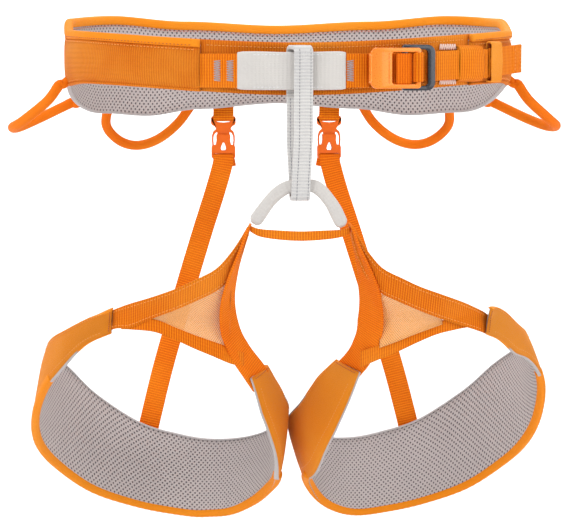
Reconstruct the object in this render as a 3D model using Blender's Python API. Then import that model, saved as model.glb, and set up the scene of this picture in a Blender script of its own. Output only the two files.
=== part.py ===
"""Climbing sit harness: padded waist belt, tie-in strap, belay loop, two leg loops.

Frame: metres, origin at the centre of the waist ring, +Z up, -Y to the front,
-X on the wearer's right. One closed solid per sub-part; webbing and padding are
plain stand-in solids of the right size, position and thickness.
"""
import math

import bmesh
import bpy
from mathutils import Vector

MM = 0.001

# ---- waist ring (inner surface is a superellipse in plan) -------------------------
WAIST_A = 150.5 * MM
WAIST_B = 111.5 * MM
WAIST_N = 2.4
LINING_T = 1.2 * MM
LAYER_GAP = 0.3 * MM
SHELL_OUT = 5.0 * MM
BINDING_H = 5.6 * MM
SHELL_START = 0.1205
SLEEVE_MOUTH = 0.0655
TONGUE_OUT = 2.0 * MM
RING_STATIONS = 46

# height of the belt's edges against distance from the front centre, in metres
BELT_TOP = [(0.0, 0.0172), (0.19, 0.0250), (0.235, 0.033), (0.30, 0.035), (0.36, 0.031),
            (0.4276, 0.028)]
BELT_BOTTOM = [(0.0, -0.0176), (0.155, -0.0105), (0.20, -0.0130), (0.29, -0.0348),
               (0.33, -0.0375), (0.37, -0.033), (0.4276, -0.029)]

# ---- tie-in strap, buckle and adjusting strap -------------------------------------
STRAP_T = 1.6 * MM
STRAP_STANDOFF = 12.3 * MM
STRAP_Z = -1.4 * MM
STRAP_H = 22.6 * MM
SLEEVE_H = 25.0 * MM
SLEEVE_T = 4.2 * MM
SLEEVE_FROM = -0.0405
SLEEVE_TO = 0.0285
BUCKLE_S = 0.067
BUCKLE_OFF = 5.2 * MM
ADJ_BAR_U = 9.5 * MM
ADJ_BAR_N = 5.6 * MM
ADJ_BAR_R = 1.5 * MM
KEEPER_A = 0.1075
KEEPER_B = 0.1235

# ---- belay loop and leg bridge ----------------------------------------------------
BELAY_W = 12.5 * MM
BELAY_T = 2.8 * MM
BELAY_HALF_GAP = 4.6 * MM
BELAY_TOP = 15.4 * MM
BELAY_BOTTOM = -86.5 * MM
BELAY_X = -1.2 * MM
BELAY_SKEW = 2.2 * MM
BRIDGE_APEX_Z = -77.4 * MM
BRIDGE_END = (31.5 * MM, -113.0 * MM, -99.5 * MM)
LEG_AXIS_Y = -113.0 * MM
LEG_AXIS_Z = -107.5 * MM

# ---- leg loops --------------------------------------------------------------------
LEG_CX = 90.5 * MM
LEG_RX = 89.5 * MM
LEG_CY = 3.0 * MM
LEG_RY = 88.0 * MM
LEG_LEAN = 0.79
LEG_LEAN_Z = -0.170
LEG_FLARE = 0.20
LEG_FLARE_Z = -0.245
PAD_T = 3.0 * MM
WEB_T = 1.6 * MM

# ---- rear risers and their clips --------------------------------------------------
RISER_X = 39.5 * MM
CLIP_Y = 121.8 * MM
RISER_W = 15.0 * MM
RISER_T = 1.4 * MM

# ---- gear loops -------------------------------------------------------------------
GEAR_R = 3.6 * MM
GEAR_BORE = 2.1 * MM
CORD_R = 1.8 * MM

COLOURS = {
    "orange_shell": ((0.86, 0.25, 0.02), 0.0, 0.75),
    "orange_webbing": ((0.84, 0.20, 0.015), 0.0, 0.7),
    "grey_mesh": ((0.50, 0.46, 0.48), 0.0, 0.85),
    "white_webbing": ((0.82, 0.82, 0.83), 0.0, 0.6),
    "orange_aluminium": ((0.80, 0.20, 0.02), 0.8, 0.35),
    "dark_aluminium": ((0.04, 0.04, 0.045), 0.8, 0.3),
    "orange_plastic": ((0.85, 0.22, 0.015), 0.0, 0.4),
}


def clear_scene():
    """Remove every object of the start-up file."""
    for obj in list(bpy.data.objects):
        bpy.data.objects.remove(obj, do_unlink=True)


def material(name, slot):
    """A plain Principled material for one sub-part."""
    colour, metal, rough = COLOURS[slot]
    mat = bpy.data.materials.new(name + "_mat")
    mat.use_nodes = True
    bsdf = mat.node_tree.nodes["Principled BSDF"]
    bsdf.inputs["Base Color"].default_value = (*colour, 1.0)
    bsdf.inputs["Metallic"].default_value = metal
    bsdf.inputs["Roughness"].default_value = rough
    mat.diffuse_color = (*colour, 1.0)
    return mat


def finish_mesh(name, slot, bm):
    """Turn a bmesh into a named object with its own material."""
    bmesh.ops.recalc_face_normals(bm, faces=bm.faces)
    mesh = bpy.data.meshes.new(name)
    bm.to_mesh(mesh)
    bm.free()
    mesh.materials.append(material(name, slot))
    obj = bpy.data.objects.new(name, mesh)
    bpy.context.scene.collection.objects.link(obj)
    return obj


def split_quad(bm, a, b, c, d):
    """Two triangles for a quad, cut along its shorter diagonal."""
    if (a.co - c.co).length <= (b.co - d.co).length:
        bm.faces.new((a, b, c))
        bm.faces.new((a, c, d))
    else:
        bm.faces.new((a, b, d))
        bm.faces.new((b, c, d))


def loft(name, slot, rings, closed=False):
    """Skin a list of equal point rings; open ends are capped."""
    bm = bmesh.new()
    rows = [[bm.verts.new(p) for p in ring] for ring in rings]
    n = len(rows[0])
    last = len(rows) if closed else len(rows) - 1
    for i in range(last):
        a = rows[i]
        b = rows[(i + 1) % len(rows)]
        for j in range(n):
            k = (j + 1) % n
            split_quad(bm, a[j], a[k], b[k], b[j])
    if not closed:
        bm.faces.new(rows[0])
        bm.faces.new(list(reversed(rows[-1])))
    return finish_mesh(name, slot, bm)


def loft_tube(name, slot, outer, inner):
    """A hollow sleeve between two sets of rings, open through its middle."""
    bm = bmesh.new()
    out = [[bm.verts.new(p) for p in ring] for ring in outer]
    inn = [[bm.verts.new(p) for p in ring] for ring in inner]
    n = len(out[0])
    for i in range(len(out) - 1):
        for j in range(n):
            k = (j + 1) % n
            bm.faces.new((out[i][j], out[i][k], out[i + 1][k], out[i + 1][j]))
            bm.faces.new((inn[i][j], inn[i + 1][j], inn[i + 1][k], inn[i][k]))
    for i in (0, len(out) - 1):
        for j in range(n):
            k = (j + 1) % n
            bm.faces.new((out[i][j], inn[i][j], inn[i][k], out[i][k]))
    return finish_mesh(name, slot, bm)


def section(corners, chamfer):
    """Four corners with each one cut back, giving an eight-point section."""
    pts = []
    for i in range(4):
        here = corners[i]
        before = corners[i - 1]
        after = corners[(i + 1) % 4]
        for other in (before, after):
            step = other - here
            pts.append(here + step.normalized() * min(chamfer, step.length * 0.3))
    return pts


def ribbon(name, slot, stations, thick, closed=False, chamfer=0.4 * MM):
    """A strap through stations of (centre, full width vector, thickness normal)."""
    rings = []
    for centre, wide, normal in stations:
        w = Vector(wide) * 0.5
        n = Vector(normal).normalized() * thick * 0.5
        c = Vector(centre)
        rings.append(section([c - w - n, c + w - n, c + w + n, c - w + n], chamfer))
    return loft(name, slot, rings, closed)


def path_points(points, count):
    """Resample a control polygon with a Catmull-Rom curve, evenly in length."""
    pts = [Vector(p) for p in points]
    dense = []
    for i in range(len(pts) - 1):
        p0 = pts[i - 1] if i else pts[0] * 2 - pts[1]
        p1 = pts[i]
        p2 = pts[i + 1]
        p3 = pts[i + 2] if i + 2 < len(pts) else pts[-1] * 2 - pts[-2]
        for k in range(24):
            t = k / 24
            a = 2 * p1
            b = (p2 - p0) * t
            c = (2 * p0 - 5 * p1 + 4 * p2 - p3) * t * t
            d = (3 * p1 - p0 - 3 * p2 + p3) * t ** 3
            dense.append((a + b + c + d) * 0.5)
    dense.append(pts[-1])
    length = [0.0]
    for a, b in zip(dense, dense[1:]):
        length.append(length[-1] + (b - a).length)
    out = []
    j = 0
    for i in range(count):
        goal = length[-1] * i / (count - 1)
        while j < len(length) - 2 and length[j + 1] < goal:
            j += 1
        span = max(length[j + 1] - length[j], 1e-12)
        out.append(dense[j].lerp(dense[j + 1], min(1.0, (goal - length[j]) / span)))
    return out


def tangents(points):
    """Unit directions along a list of points."""
    out = []
    for i in range(len(points)):
        a = points[max(i - 1, 0)]
        b = points[min(i + 1, len(points) - 1)]
        out.append((b - a).normalized())
    return out


def table(rows, x):
    """Smoothly interpolated value from a short table of (x, value)."""
    if x <= rows[0][0]:
        return rows[0][1]
    for (xa, ya), (xb, yb) in zip(rows, rows[1:]):
        if x <= xb:
            t = (x - xa) / (xb - xa)
            t = t * t * (3 - 2 * t)
            return ya + (yb - ya) * t
    return rows[-1][1]


# ---- plan of the waist ring -------------------------------------------------------
def superellipse_point(angle):
    """Point of the waist ring's inner surface, angle 0 at the front centre."""
    c = math.sin(angle)
    s = -math.cos(angle)
    x = WAIST_A * math.copysign(abs(c) ** (2 / WAIST_N), c)
    y = WAIST_B * math.copysign(abs(s) ** (2 / WAIST_N), s)
    return x, y


def build_plan():
    """Arc-length table of the waist ring, starting at the front centre."""
    rows = []
    total = 0.0
    last = superellipse_point(0.0)
    steps = 7200
    for i in range(steps + 1):
        here = superellipse_point(2 * math.pi * i / steps)
        total += math.hypot(here[0] - last[0], here[1] - last[1])
        rows.append((total, here[0], here[1]))
        last = here
    return rows


PLAN = build_plan()
RING = PLAN[-1][0]


def plan_raw(s):
    """Inner surface point at a distance round the ring from the front centre."""
    s = s % RING
    lo = 0
    hi = len(PLAN) - 1
    while hi - lo > 1:
        mid = (lo + hi) // 2
        if PLAN[mid][0] <= s:
            lo = mid
        else:
            hi = mid
    a = PLAN[lo]
    b = PLAN[hi]
    t = (s - a[0]) / max(b[0] - a[0], 1e-12)
    return a[1] + (b[1] - a[1]) * t, a[2] + (b[2] - a[2]) * t


def plan_frame(s):
    """Tangent and outward normal of the ring."""
    ax, ay = plan_raw(s - 0.002)
    bx, by = plan_raw(s + 0.002)
    t = Vector((bx - ax, by - ay, 0)).normalized()
    return t, Vector((t.y, -t.x, 0))


def plan(s, off, z=0.0):
    """World point at ring distance s, offset outward, at height z."""
    x, y = plan_raw(s)
    _, n = plan_frame(s)
    return Vector((x + n.x * off, y + n.y * off, z))


def fold(s):
    """Distance from the front centre, the same on both sides."""
    s = s % RING
    return min(s, RING - s)


def belt_band(name, slot, s0, s1, count, inner, outer, low, high, chamfer=0.5 * MM):
    """A band of the belt between two offsets and two height functions."""
    rings = []
    for i in range(count):
        s = s0 + (s1 - s0) * i / (count - 1)
        zb = low(s)
        zt = high(s)
        rings.append(section([plan(s, inner, zb), plan(s, outer, zb), plan(s, outer, zt),
                              plan(s, inner, zt)], chamfer))
    return loft(name, slot, rings)


def belt_top(s):
    """Top edge of the belt."""
    return table(BELT_TOP, fold(s))


def belt_bottom(s):
    """Bottom edge of the belt."""
    return table(BELT_BOTTOM, fold(s))


def build_belt():
    """Shell, mesh lining, top binding and the front tongue."""
    s0 = SHELL_START
    s1 = RING - SLEEVE_MOUTH
    inner = LINING_T + LAYER_GAP

    def below_binding(s):
        return belt_top(s) - BINDING_H

    def binding_low(s):
        return belt_top(s) - BINDING_H + LAYER_GAP

    belt_band("belt_outer_shell", "orange_shell", s0, s1, RING_STATIONS, inner, SHELL_OUT,
              belt_bottom, below_binding, 0.8 * MM)
    belt_band("belt_mesh_lining", "grey_mesh", s0, s1, RING_STATIONS, 0.0, LINING_T,
              belt_bottom, below_binding, 0.3 * MM)
    belt_band("belt_top_binding", "orange_shell", s0, s1, RING_STATIONS, 0.0, SHELL_OUT,
              binding_low, belt_top, 1.2 * MM)
    belt_band("belt_front_tongue", "orange_shell", -SLEEVE_MOUTH + 0.001, SHELL_START - 0.001, 24,
              0.0, TONGUE_OUT, belt_bottom, belt_top, 0.4 * MM)


# ---- tie-in strap, sleeve, buckle, adjusting strap --------------------------------
def strap_offset(s):
    """How far the tie-in strap stands off the waist ring."""
    rows = [(-0.0655, 3.3 * MM), (-0.03, 9.5 * MM), (-0.006, STRAP_STANDOFF), (0.014, 11.2 * MM),
            (0.03, 8.0 * MM), (0.0425, 6.6 * MM), (0.05, 5.4 * MM), (0.06, 4.4 * MM)]
    return table(rows, s)


def strap_point(s, extra=0.0, z=STRAP_Z):
    """Centre of the tie-in strap."""
    return plan(s, strap_offset(s) + extra, z)


def strap_rings(s0, s1, count, high, thick, chamfer):
    """Rectangular rings round the tie-in strap's centre line."""
    pts = [strap_point(s0 + (s1 - s0) * i / (count - 1)) for i in range(count)]
    rings = []
    for p, t in zip(pts, tangents(pts)):
        n = Vector((t.y, -t.x, 0)) * thick * 0.5
        w = Vector((0, 0, high * 0.5))
        rings.append(section([p - w - n, p + w - n, p + w + n, p - w + n], chamfer))
    return rings


def buckle_point(u, n, z=0.0):
    """Buckle frame: u along the belt, n outward, z up."""
    base = plan(BUCKLE_S, BUCKLE_OFF, 0.0)
    t, out = plan_frame(BUCKLE_S)
    return base + t * u + out * n + Vector((0, 0, z))


def build_tie_in():
    """Webbing from the sleeve mouth to the buckle, with the white sleeve round it."""
    loft("tie_in_webbing", "orange_webbing",
         strap_rings(-SLEEVE_MOUTH + 0.001, 0.0440, 26, STRAP_H, STRAP_T, 0.4 * MM))
    outer = strap_rings(SLEEVE_FROM, SLEEVE_TO, 18, SLEEVE_H, SLEEVE_T, 0.9 * MM)
    inner = strap_rings(SLEEVE_FROM, SLEEVE_TO, 18, STRAP_H + 0.7 * MM, STRAP_T + 0.7 * MM,
                        0.3 * MM)
    loft_tube("tie_in_sleeve", "white_webbing", outer, inner)


def plate_with_hole(name, slot, outline, hole, place, low, high):
    """A flat plate with one hole; both outlines have the same number of points."""
    outer = [[place(u, n, z) for u, z in outline] for n in (low, high)]
    inner = [[place(u, n, z) for u, z in hole] for n in (low, high)]
    return loft_tube(name, slot, outer, inner)


def rounded(u0, u1, z0, z1, radii):
    """Rounded rectangle, four points a corner, from the low-u low-z corner."""
    pts = []
    spec = [(u0, z0, 1, 1, 180), (u1, z0, -1, 1, 270), (u1, z1, -1, -1, 0), (u0, z1, 1, -1, 90)]
    for (u, z, du, dz, start), r in zip(spec, radii):
        cu = u + du * r
        cz = z + dz * r
        for k in range(4):
            a = math.radians(start + 30 * k)
            pts.append((cu + r * math.cos(a), cz + r * math.sin(a)))
    return pts


def build_buckle():
    """Dark base frame, orange adjuster frame, anchor fold and adjusting strap."""
    outline = rounded(-1.0 * MM, 22.5 * MM, -14.8 * MM, 15.6 * MM, [2 * MM, 5 * MM, 5 * MM, 2 * MM])
    hole = rounded(3.2 * MM, 17.2 * MM, -11.6 * MM, 12.4 * MM, [1 * MM, 2 * MM, 2 * MM, 1 * MM])
    plate_with_hole("buckle_base_frame", "dark_aluminium", outline, hole, buckle_point,
                    0.9 * MM, 3.3 * MM)
    build_adjuster()

    # anchor webbing: comes from the tie-in strap, goes behind the base frame's left bar,
    # up through its window and folds back to the front
    flat = [(-20.5, -0.1), (-12, -0.15), (-4, -0.15), (2.6, -0.1), (5.2, 1.2), (5.3, 3.2),
            (3.6, 4.9), (0.5, 5.1), (-5.5, 5.1)]
    pts = path_points([buckle_point(u * MM, n * MM, 0.0) for u, n in flat], 22)
    stations = []
    for p, t in zip(pts, tangents(pts)):
        stations.append((p + Vector((0, 0, STRAP_Z + 1.2 * MM)), (0, 0, 20.5 * MM), (t.y, -t.x, 0)))
    ribbon("buckle_anchor_webbing", "orange_webbing", stations, 1.3 * MM)

    # adjusting strap: both legs pass behind the base frame's right bar and the bight
    # goes round the adjuster frame's bar
    def along(s, off):
        return plan(s, off, 0.0)

    bar_u = ADJ_BAR_U / MM
    bar_n = ADJ_BAR_N / MM
    left = [along(0.1305, 6.3 * MM), along(0.124, 6.3 * MM), along(0.1195, 6.2 * MM),
            along(0.112, 4.5 * MM), along(0.1055, 3.5 * MM), along(0.100, 3.4 * MM),
            buckle_point(22 * MM, -2.2 * MM), buckle_point(15 * MM, -2.2 * MM),
            buckle_point(9.5 * MM, -1.5 * MM), buckle_point((bar_u - 2.6) * MM, 2.4 * MM),
            buckle_point((bar_u - 2.75) * MM, bar_n * MM)]
    arc = []
    for deg in (135, 90, 45, 0):
        a = math.radians(deg)
        arc.append(buckle_point((bar_u + 2.75 * math.cos(a)) * MM,
                                (bar_n + 2.75 * math.sin(a)) * MM))
    right = [buckle_point((bar_u + 2.9) * MM, 2.6 * MM), buckle_point(13.6 * MM, 0.4 * MM),
             buckle_point(17 * MM, -0.45 * MM), buckle_point(22.5 * MM, -0.5 * MM),
             along(0.100, 5.0 * MM), along(0.1055, 5.1 * MM), along(0.112, 6.1 * MM),
             along(0.1185, 7.8 * MM), along(0.124, 7.9 * MM), along(0.1305, 7.9 * MM)]
    pts = path_points(left + arc + right, 60)
    stations = []
    for p, t in zip(pts, tangents(pts)):
        rise = (p.x - 0.075) / 0.045
        mid = (0.6 + 2.0 * min(max(rise, 0.0), 1.0)) * MM
        stations.append((p + Vector((0, 0, mid)), (0, 0, 19.5 * MM), (t.y, -t.x, 0)))
    ribbon("adjusting_strap", "orange_webbing", stations, 1.25 * MM, chamfer=0.3 * MM)


def build_adjuster():
    """Orange frame: solid left plate, window, round right bar; origin on that bar."""
    bar = buckle_point(ADJ_BAR_U, ADJ_BAR_N)
    t, out = plan_frame(BUCKLE_S)
    bm = bmesh.new()
    us = [-24.5, -22.0, -9.5, 8.0, 11.0]
    low = 4.4
    high = 6.8

    def place(u, n, z):
        return bm.verts.new(buckle_point(u * MM, n * MM, z * MM))

    # outline and window rings share their corner order
    outer = [(us[0], -10.5), (us[1], -13.2), (us[4], -13.2), (us[4], 13.6), (us[1], 13.6),
             (us[0], 10.9)]
    inner = [(us[2], -9.8), (us[2] + 0.8, -10.7), (us[3], -10.7), (us[3], 11.1),
             (us[2] + 0.8, 11.1), (us[2], 10.2)]
    lo_out = [place(u, low, z) for u, z in outer]
    hi_out = [place(u, high, z) for u, z in outer]
    lo_in = [place(u, low, z) for u, z in inner]
    hi_in = [place(u, high, z) for u, z in inner]
    for i in range(6):
        j = (i + 1) % 6
        bm.faces.new((lo_out[i], lo_out[j], hi_out[j], hi_out[i]))
        bm.faces.new((lo_in[i], hi_in[i], hi_in[j], lo_in[j]))
        bm.faces.new((hi_out[i], hi_out[j], hi_in[j], hi_in[i]))
        bm.faces.new((lo_out[i], lo_in[i], lo_in[j], lo_out[j]))
    obj = finish_mesh("buckle_adjuster_frame", "orange_aluminium", bm)
    for v in obj.data.vertices:
        v.co -= bar
    obj.location = bar


def sleeve_round_strap(name, s0, s1, low, high, inner, outer, wall):
    """A keeper: a short hollow sleeve round the adjusting strap."""
    out = []
    inn = []
    for i in range(5):
        s = s0 + (s1 - s0) * i / 4
        out.append(section([plan(s, inner, low), plan(s, outer, low), plan(s, outer, high),
                            plan(s, inner, high)], 0.4 * MM))
        a = inner + wall
        b = outer - wall
        inn.append(section([plan(s, a, low + wall), plan(s, b, low + wall),
                            plan(s, b, high - wall), plan(s, a, high - wall)], 0.2 * MM))
    return loft_tube(name, "orange_webbing", out, inn)


# ---- belay loop and leg bridge ----------------------------------------------------
def build_belay():
    """White belay loop, skewed so that both strands show, plus the leg bridge."""
    centre = strap_point(-0.0015)
    half = BELAY_HALF_GAP + BELAY_T * 0.5
    top = BELAY_TOP - BELAY_T * 0.5
    bottom = BELAY_BOTTOM + BELAY_T * 0.5
    corner = 3.6 * MM
    pts = []
    spec = [(half - corner, top - corner, 0), (-half + corner, top - corner, 90),
            (-half + corner, bottom + corner, 180), (half - corner, bottom + corner, 270)]
    for cy, cz, start in spec:
        for k in range(5):
            a = math.radians(start + 90 * k / 4)
            pts.append((cy + corner * math.cos(a), cz + corner * math.sin(a),
                        math.cos(a), math.sin(a)))
        if start in (90, 270):
            sign = -1 if start == 90 else 1
            lo = bottom + corner
            hi = top - corner
            for k in (1, 2, 3, 4, 5):
                t = k / 6
                z = hi + (lo - hi) * t if sign < 0 else lo + (hi - lo) * t
                pts.append((sign * half, z, float(sign), 0.0))
    stations = []
    for y, z, ny, nz in pts:
        x = BELAY_X - BELAY_SKEW * y / half
        stations.append(((x, centre.y + y, z), (BELAY_W, 0, 0), (0, ny, nz)))
    ribbon("belay_loop", "white_webbing", stations, BELAY_T, closed=True, chamfer=0.5 * MM)

    ex, ey, ez = BRIDGE_END
    ctrl = [(-ex, ey, ez), (-20 * MM, ey - 5 * MM, -88.0 * MM),
            (-9 * MM, centre.y + 0.8 * MM, -79.0 * MM), (BELAY_X, centre.y, BRIDGE_APEX_Z),
            (7 * MM, centre.y + 0.8 * MM, -79.0 * MM), (20 * MM, ey - 5 * MM, -88.5 * MM),
            (ex, ey, ez)]
    pts = path_points(ctrl, 19)
    stations = []
    for p, t in zip(pts, tangents(pts)):
        across = Vector((0, 1, 0)).cross(t).normalized()
        stations.append((p, across * 8.4 * MM, t.cross(across)))
    ribbon("leg_bridge_sleeve", "white_webbing", stations, 5.6 * MM, chamfer=1.6 * MM)

    ctrl = [(-30.3 * MM, LEG_AXIS_Y, -107.6 * MM), (-15 * MM, LEG_AXIS_Y - 3 * MM, -109.6 * MM),
            (0, LEG_AXIS_Y - 4 * MM, -110.4 * MM), (15 * MM, LEG_AXIS_Y - 3 * MM, -109.9 * MM),
            (30.3 * MM, LEG_AXIS_Y, -108.4 * MM)]
    pts = path_points(ctrl, 11)
    stations = []
    for p, t in zip(pts, tangents(pts)):
        stations.append((p, (0, 0, 6.2 * MM), (t.y, -t.x, 0)))
    ribbon("leg_cross_strap", "orange_webbing", stations, 2.2 * MM)


# ---- leg loops --------------------------------------------------------------------
def leg_point(sign, angle, z, depth=0.0):
    """Point of the thigh surface; angle in degrees, 0 in front, 90 on the outside."""
    a = math.radians(angle)
    out = max(0.0, math.sin(a)) ** 2
    grow = -LEG_FLARE * (z - LEG_FLARE_Z) * out - depth
    lean = -LEG_LEAN * max(0.0, z - LEG_LEAN_Z)
    x = LEG_CX + (LEG_RX + grow) * math.sin(a)
    y = LEG_CY + lean - (LEG_RY + grow) * math.cos(a)
    return Vector((sign * x, y, z))


def angle_of(x):
    """Angle in front of the leg at which the thigh surface has this distance from x = 0."""
    return math.degrees(math.asin(max(-1.0, min(1.0, (x - LEG_CX) / LEG_RX))))


PAD_EDGES = [
    (20, -0.1620, 24, -0.1810), (38, -0.1720, 40, -0.1900), (55, -0.1830, 58, -0.2085),
    (72, -0.1890, 74, -0.2250), (90, -0.1960, 90, -0.2460), (110, -0.2050, 108, -0.2700),
    (130, -0.2190, 128, -0.2930), (150, -0.2420, 148, -0.3140), (172, -0.2640, 168, -0.3260),
    (190, -0.2725, 186, -0.3320), (205, -0.2755, 203, -0.3335), (222, -0.2730, 218, -0.3270),
    (240, -0.2660, 234, -0.3130), (255, -0.2570, 250, -0.3010), (270, -0.2460, 266, -0.2940),
    (283, -0.2340, 284, -0.2850), (292, -0.2220, 297, -0.2610), (299, -0.2130, 309, -0.2360),
    (304.5, -0.2075, 321, -0.2140)]


def pad_rows(count):
    """Smooth pad edges: (top angle, top z, bottom angle, bottom z) evenly spread."""
    rows = [Vector((r[0] / 1000, r[1], r[2] / 1000)) for r in PAD_EDGES]
    lows = [Vector((r[2] / 1000, r[3], 0)) for r in PAD_EDGES]
    out = []
    for i in range(count):
        f = i / (count - 1) * (len(rows) - 1)
        k = min(int(f), len(rows) - 2)
        t = f - k
        a = rows[k].lerp(rows[k + 1], t)
        b = lows[k].lerp(lows[k + 1], t)
        out.append((a.x * 1000, a.y, b.x * 1000, b.y))
    return out


def leg_band(name, slot, sign, rows, d0, d1, chamfer):
    """A band on the thigh surface between two depths below it."""
    rings = []
    for at, zt, ab, zb in rows:
        rings.append(section([leg_point(sign, ab, zb, d1), leg_point(sign, ab, zb, d0),
                              leg_point(sign, at, zt, d0), leg_point(sign, at, zt, d1)], chamfer))
    return loft(name, slot, rings)


def front_rows(edges):
    """Rows for a band given as (x, top z, bottom z) in front of the leg."""
    return [(angle_of(x), zt, angle_of(x), zb) for x, zt, zb in edges]


def build_leg(side, sign):
    """Pad shell, mesh lining, edge binding, three webs and the mesh panel."""
    rows = pad_rows(37)
    upper = []
    lower = []
    for i, (at, zt, ab, zb) in enumerate(rows):
        h = (1.6 + 4.2 * math.sqrt(max(0.0, math.sin(math.pi * i / 36)))) * MM
        f = h / (zt - zb)
        mid_a = ab + (at - ab) * f
        f2 = (h - LAYER_GAP) / (zt - zb)
        upper.append((at, zt, mid_a, zb + h))
        lower.append((ab + (at - ab) * f2, zb + h - LAYER_GAP, ab, zb))
    inner = PAD_T + LAYER_GAP
    leg_band(side + "_leg_pad_shell", "orange_shell", sign, upper, 0.0, PAD_T, 0.8 * MM)
    leg_band(side + "_leg_pad_lining", "grey_mesh", sign, upper, inner, inner + LINING_T,
             0.3 * MM)
    leg_band(side + "_leg_pad_binding", "orange_shell", sign, lower, 0.0, inner + LINING_T,
             1.0 * MM)
    up = [(0.0390, -0.1128, -0.1250), (0.0460, -0.1232, -0.1410), (0.0553, -0.1332, -0.1515),
          (0.0687, -0.1400, -0.1580), (0.0820, -0.1462, -0.1640), (0.0988, -0.1524, -0.1708),
          (0.1120, -0.1575, -0.1750), (0.1195, -0.1612, -0.1795)]
    leg_band(side + "_leg_upper_web", "orange_webbing", sign, front_rows(up), 0.4 * MM, 2.0 * MM,
             0.4 * MM)
    low = [(0.1115, -0.1755, -0.1782), (0.0960, -0.1735, -0.1812), (0.0820, -0.1789, -0.1865),
           (0.0687, -0.1844, -0.1930), (0.0553, -0.1897, -0.1990), (0.0450, -0.1940, -0.2045)]
    leg_band(side + "_leg_lower_web", "orange_webbing", sign, front_rows(low), 0.4 * MM, 2.0 * MM,
             0.4 * MM)
    panel = [(0.0480, -0.1436, -0.1925), (0.0553, -0.1520, -0.1893), (0.0687, -0.1585, -0.1840),
             (0.0820, -0.1645, -0.1785), (0.0960, -0.1703, -0.1730)]
    leg_band(side + "_leg_mesh_panel", "orange_shell", sign, front_rows(panel), 0.9 * MM,
             1.5 * MM, 0.15 * MM)
    web = [((34.3, -112.6, -105.8), (-2.6, 11.0, 3)), ((37.5, -100.0, -126.0), (-4.0, 13.5, 3)),
           ((40.0, -87.5, -143.0), (-5.5, 14.5, 3)), ((40.0, -76.5, -160.0), (-7.5, 15.0, 3)),
           ((36.5, -67.5, -179.0), (-10.5, 15.0, 3)), ((31.0, -60.5, -195.0), (-14.5, 14.0, 3)),
           ((25.8, -56.0, -206.5), (-17.5, 13.5, 4))]
    centres = path_points([Vector(c) * MM for c, _ in web], 17)
    widths = path_points([Vector(w) * MM for _, w in web], 17)
    stations = []
    for c, w, t in zip(centres, widths, tangents(centres)):
        w = w - t * w.dot(t)
        n = t.cross(w)
        stations.append(((sign * c.x, c.y, c.z), (sign * w.x, w.y, w.z), (sign * n.x, n.y, n.z)))
    ribbon(side + "_leg_inner_web", "orange_webbing", stations, WEB_T)


# ---- rear risers ------------------------------------------------------------------
def cell_body(name, slot, xs, ys, zs, solid, origin):
    """A boxy body built from filled cells of a grid, in millimetres from its origin."""
    bm = bmesh.new()
    grid = {}

    def vert(i, j, k):
        key = (i, j, k)
        if key not in grid:
            grid[key] = bm.verts.new((xs[i] * MM, ys[j] * MM, zs[k] * MM))
        return grid[key]

    def filled(i, j, k):
        if min(i, j, k) < 0 or i >= len(xs) - 1 or j >= len(ys) - 1 or k >= len(zs) - 1:
            return False
        x = (xs[i] + xs[i + 1]) / 2
        y = (ys[j] + ys[j + 1]) / 2
        z = (zs[k] + zs[k + 1]) / 2
        return solid(x, y, z)

    for i in range(len(xs) - 1):
        for j in range(len(ys) - 1):
            for k in range(len(zs) - 1):
                if not filled(i, j, k):
                    continue
                if not filled(i - 1, j, k):
                    bm.faces.new([vert(i, *p) for p in ((j, k), (j, k + 1), (j + 1, k + 1),
                                                        (j + 1, k))])
                if not filled(i + 1, j, k):
                    bm.faces.new([vert(i + 1, *p) for p in ((j, k), (j + 1, k), (j + 1, k + 1),
                                                            (j, k + 1))])
                if not filled(i, j - 1, k):
                    bm.faces.new([vert(a, j, b) for a, b in ((i, k), (i + 1, k), (i + 1, k + 1),
                                                             (i, k + 1))])
                if not filled(i, j + 1, k):
                    bm.faces.new([vert(a, j + 1, b) for a, b in ((i, k), (i, k + 1),
                                                                 (i + 1, k + 1), (i + 1, k))])
                if not filled(i, j, k - 1):
                    bm.faces.new([vert(a, b, k) for a, b in ((i, j), (i, j + 1), (i + 1, j + 1),
                                                             (i + 1, j))])
                if not filled(i, j, k + 1):
                    bm.faces.new([vert(a, b, k + 1) for a, b in ((i, j), (i + 1, j),
                                                                 (i + 1, j + 1), (i, j + 1))])
    obj = finish_mesh(name, slot, bm)
    obj.location = origin
    return obj


def male_solid(x, y, z):
    """Clip plug: slotted bar, neck, centre guide and two prongs (z down from the bar)."""
    w = abs(x)
    if z > -7.2:
        return not (w < 7.9 and -4.9 < z < -2.3)
    if z > -13.5:
        return w < 5.6
    if w < 1.2:
        return z > -22.0
    return 3.4 < w < 5.6 and z > -23.0


def female_solid(x, y, z):
    """Clip socket: pocket open at the top, side and front windows, strap slot below."""
    w = abs(x)
    if w < 6.4 and -1.8 < y < 1.8 and z > -26.0:
        return False
    if w > 6.4 and -1.8 < y < 1.8 and -22.5 < z < -16.5:
        return False
    if w < 1.4 and y < -1.8 and -25.0 < z < -20.0:
        return False
    if w < 7.6 and -30.4 < z < -27.8:
        return False
    return True


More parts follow.
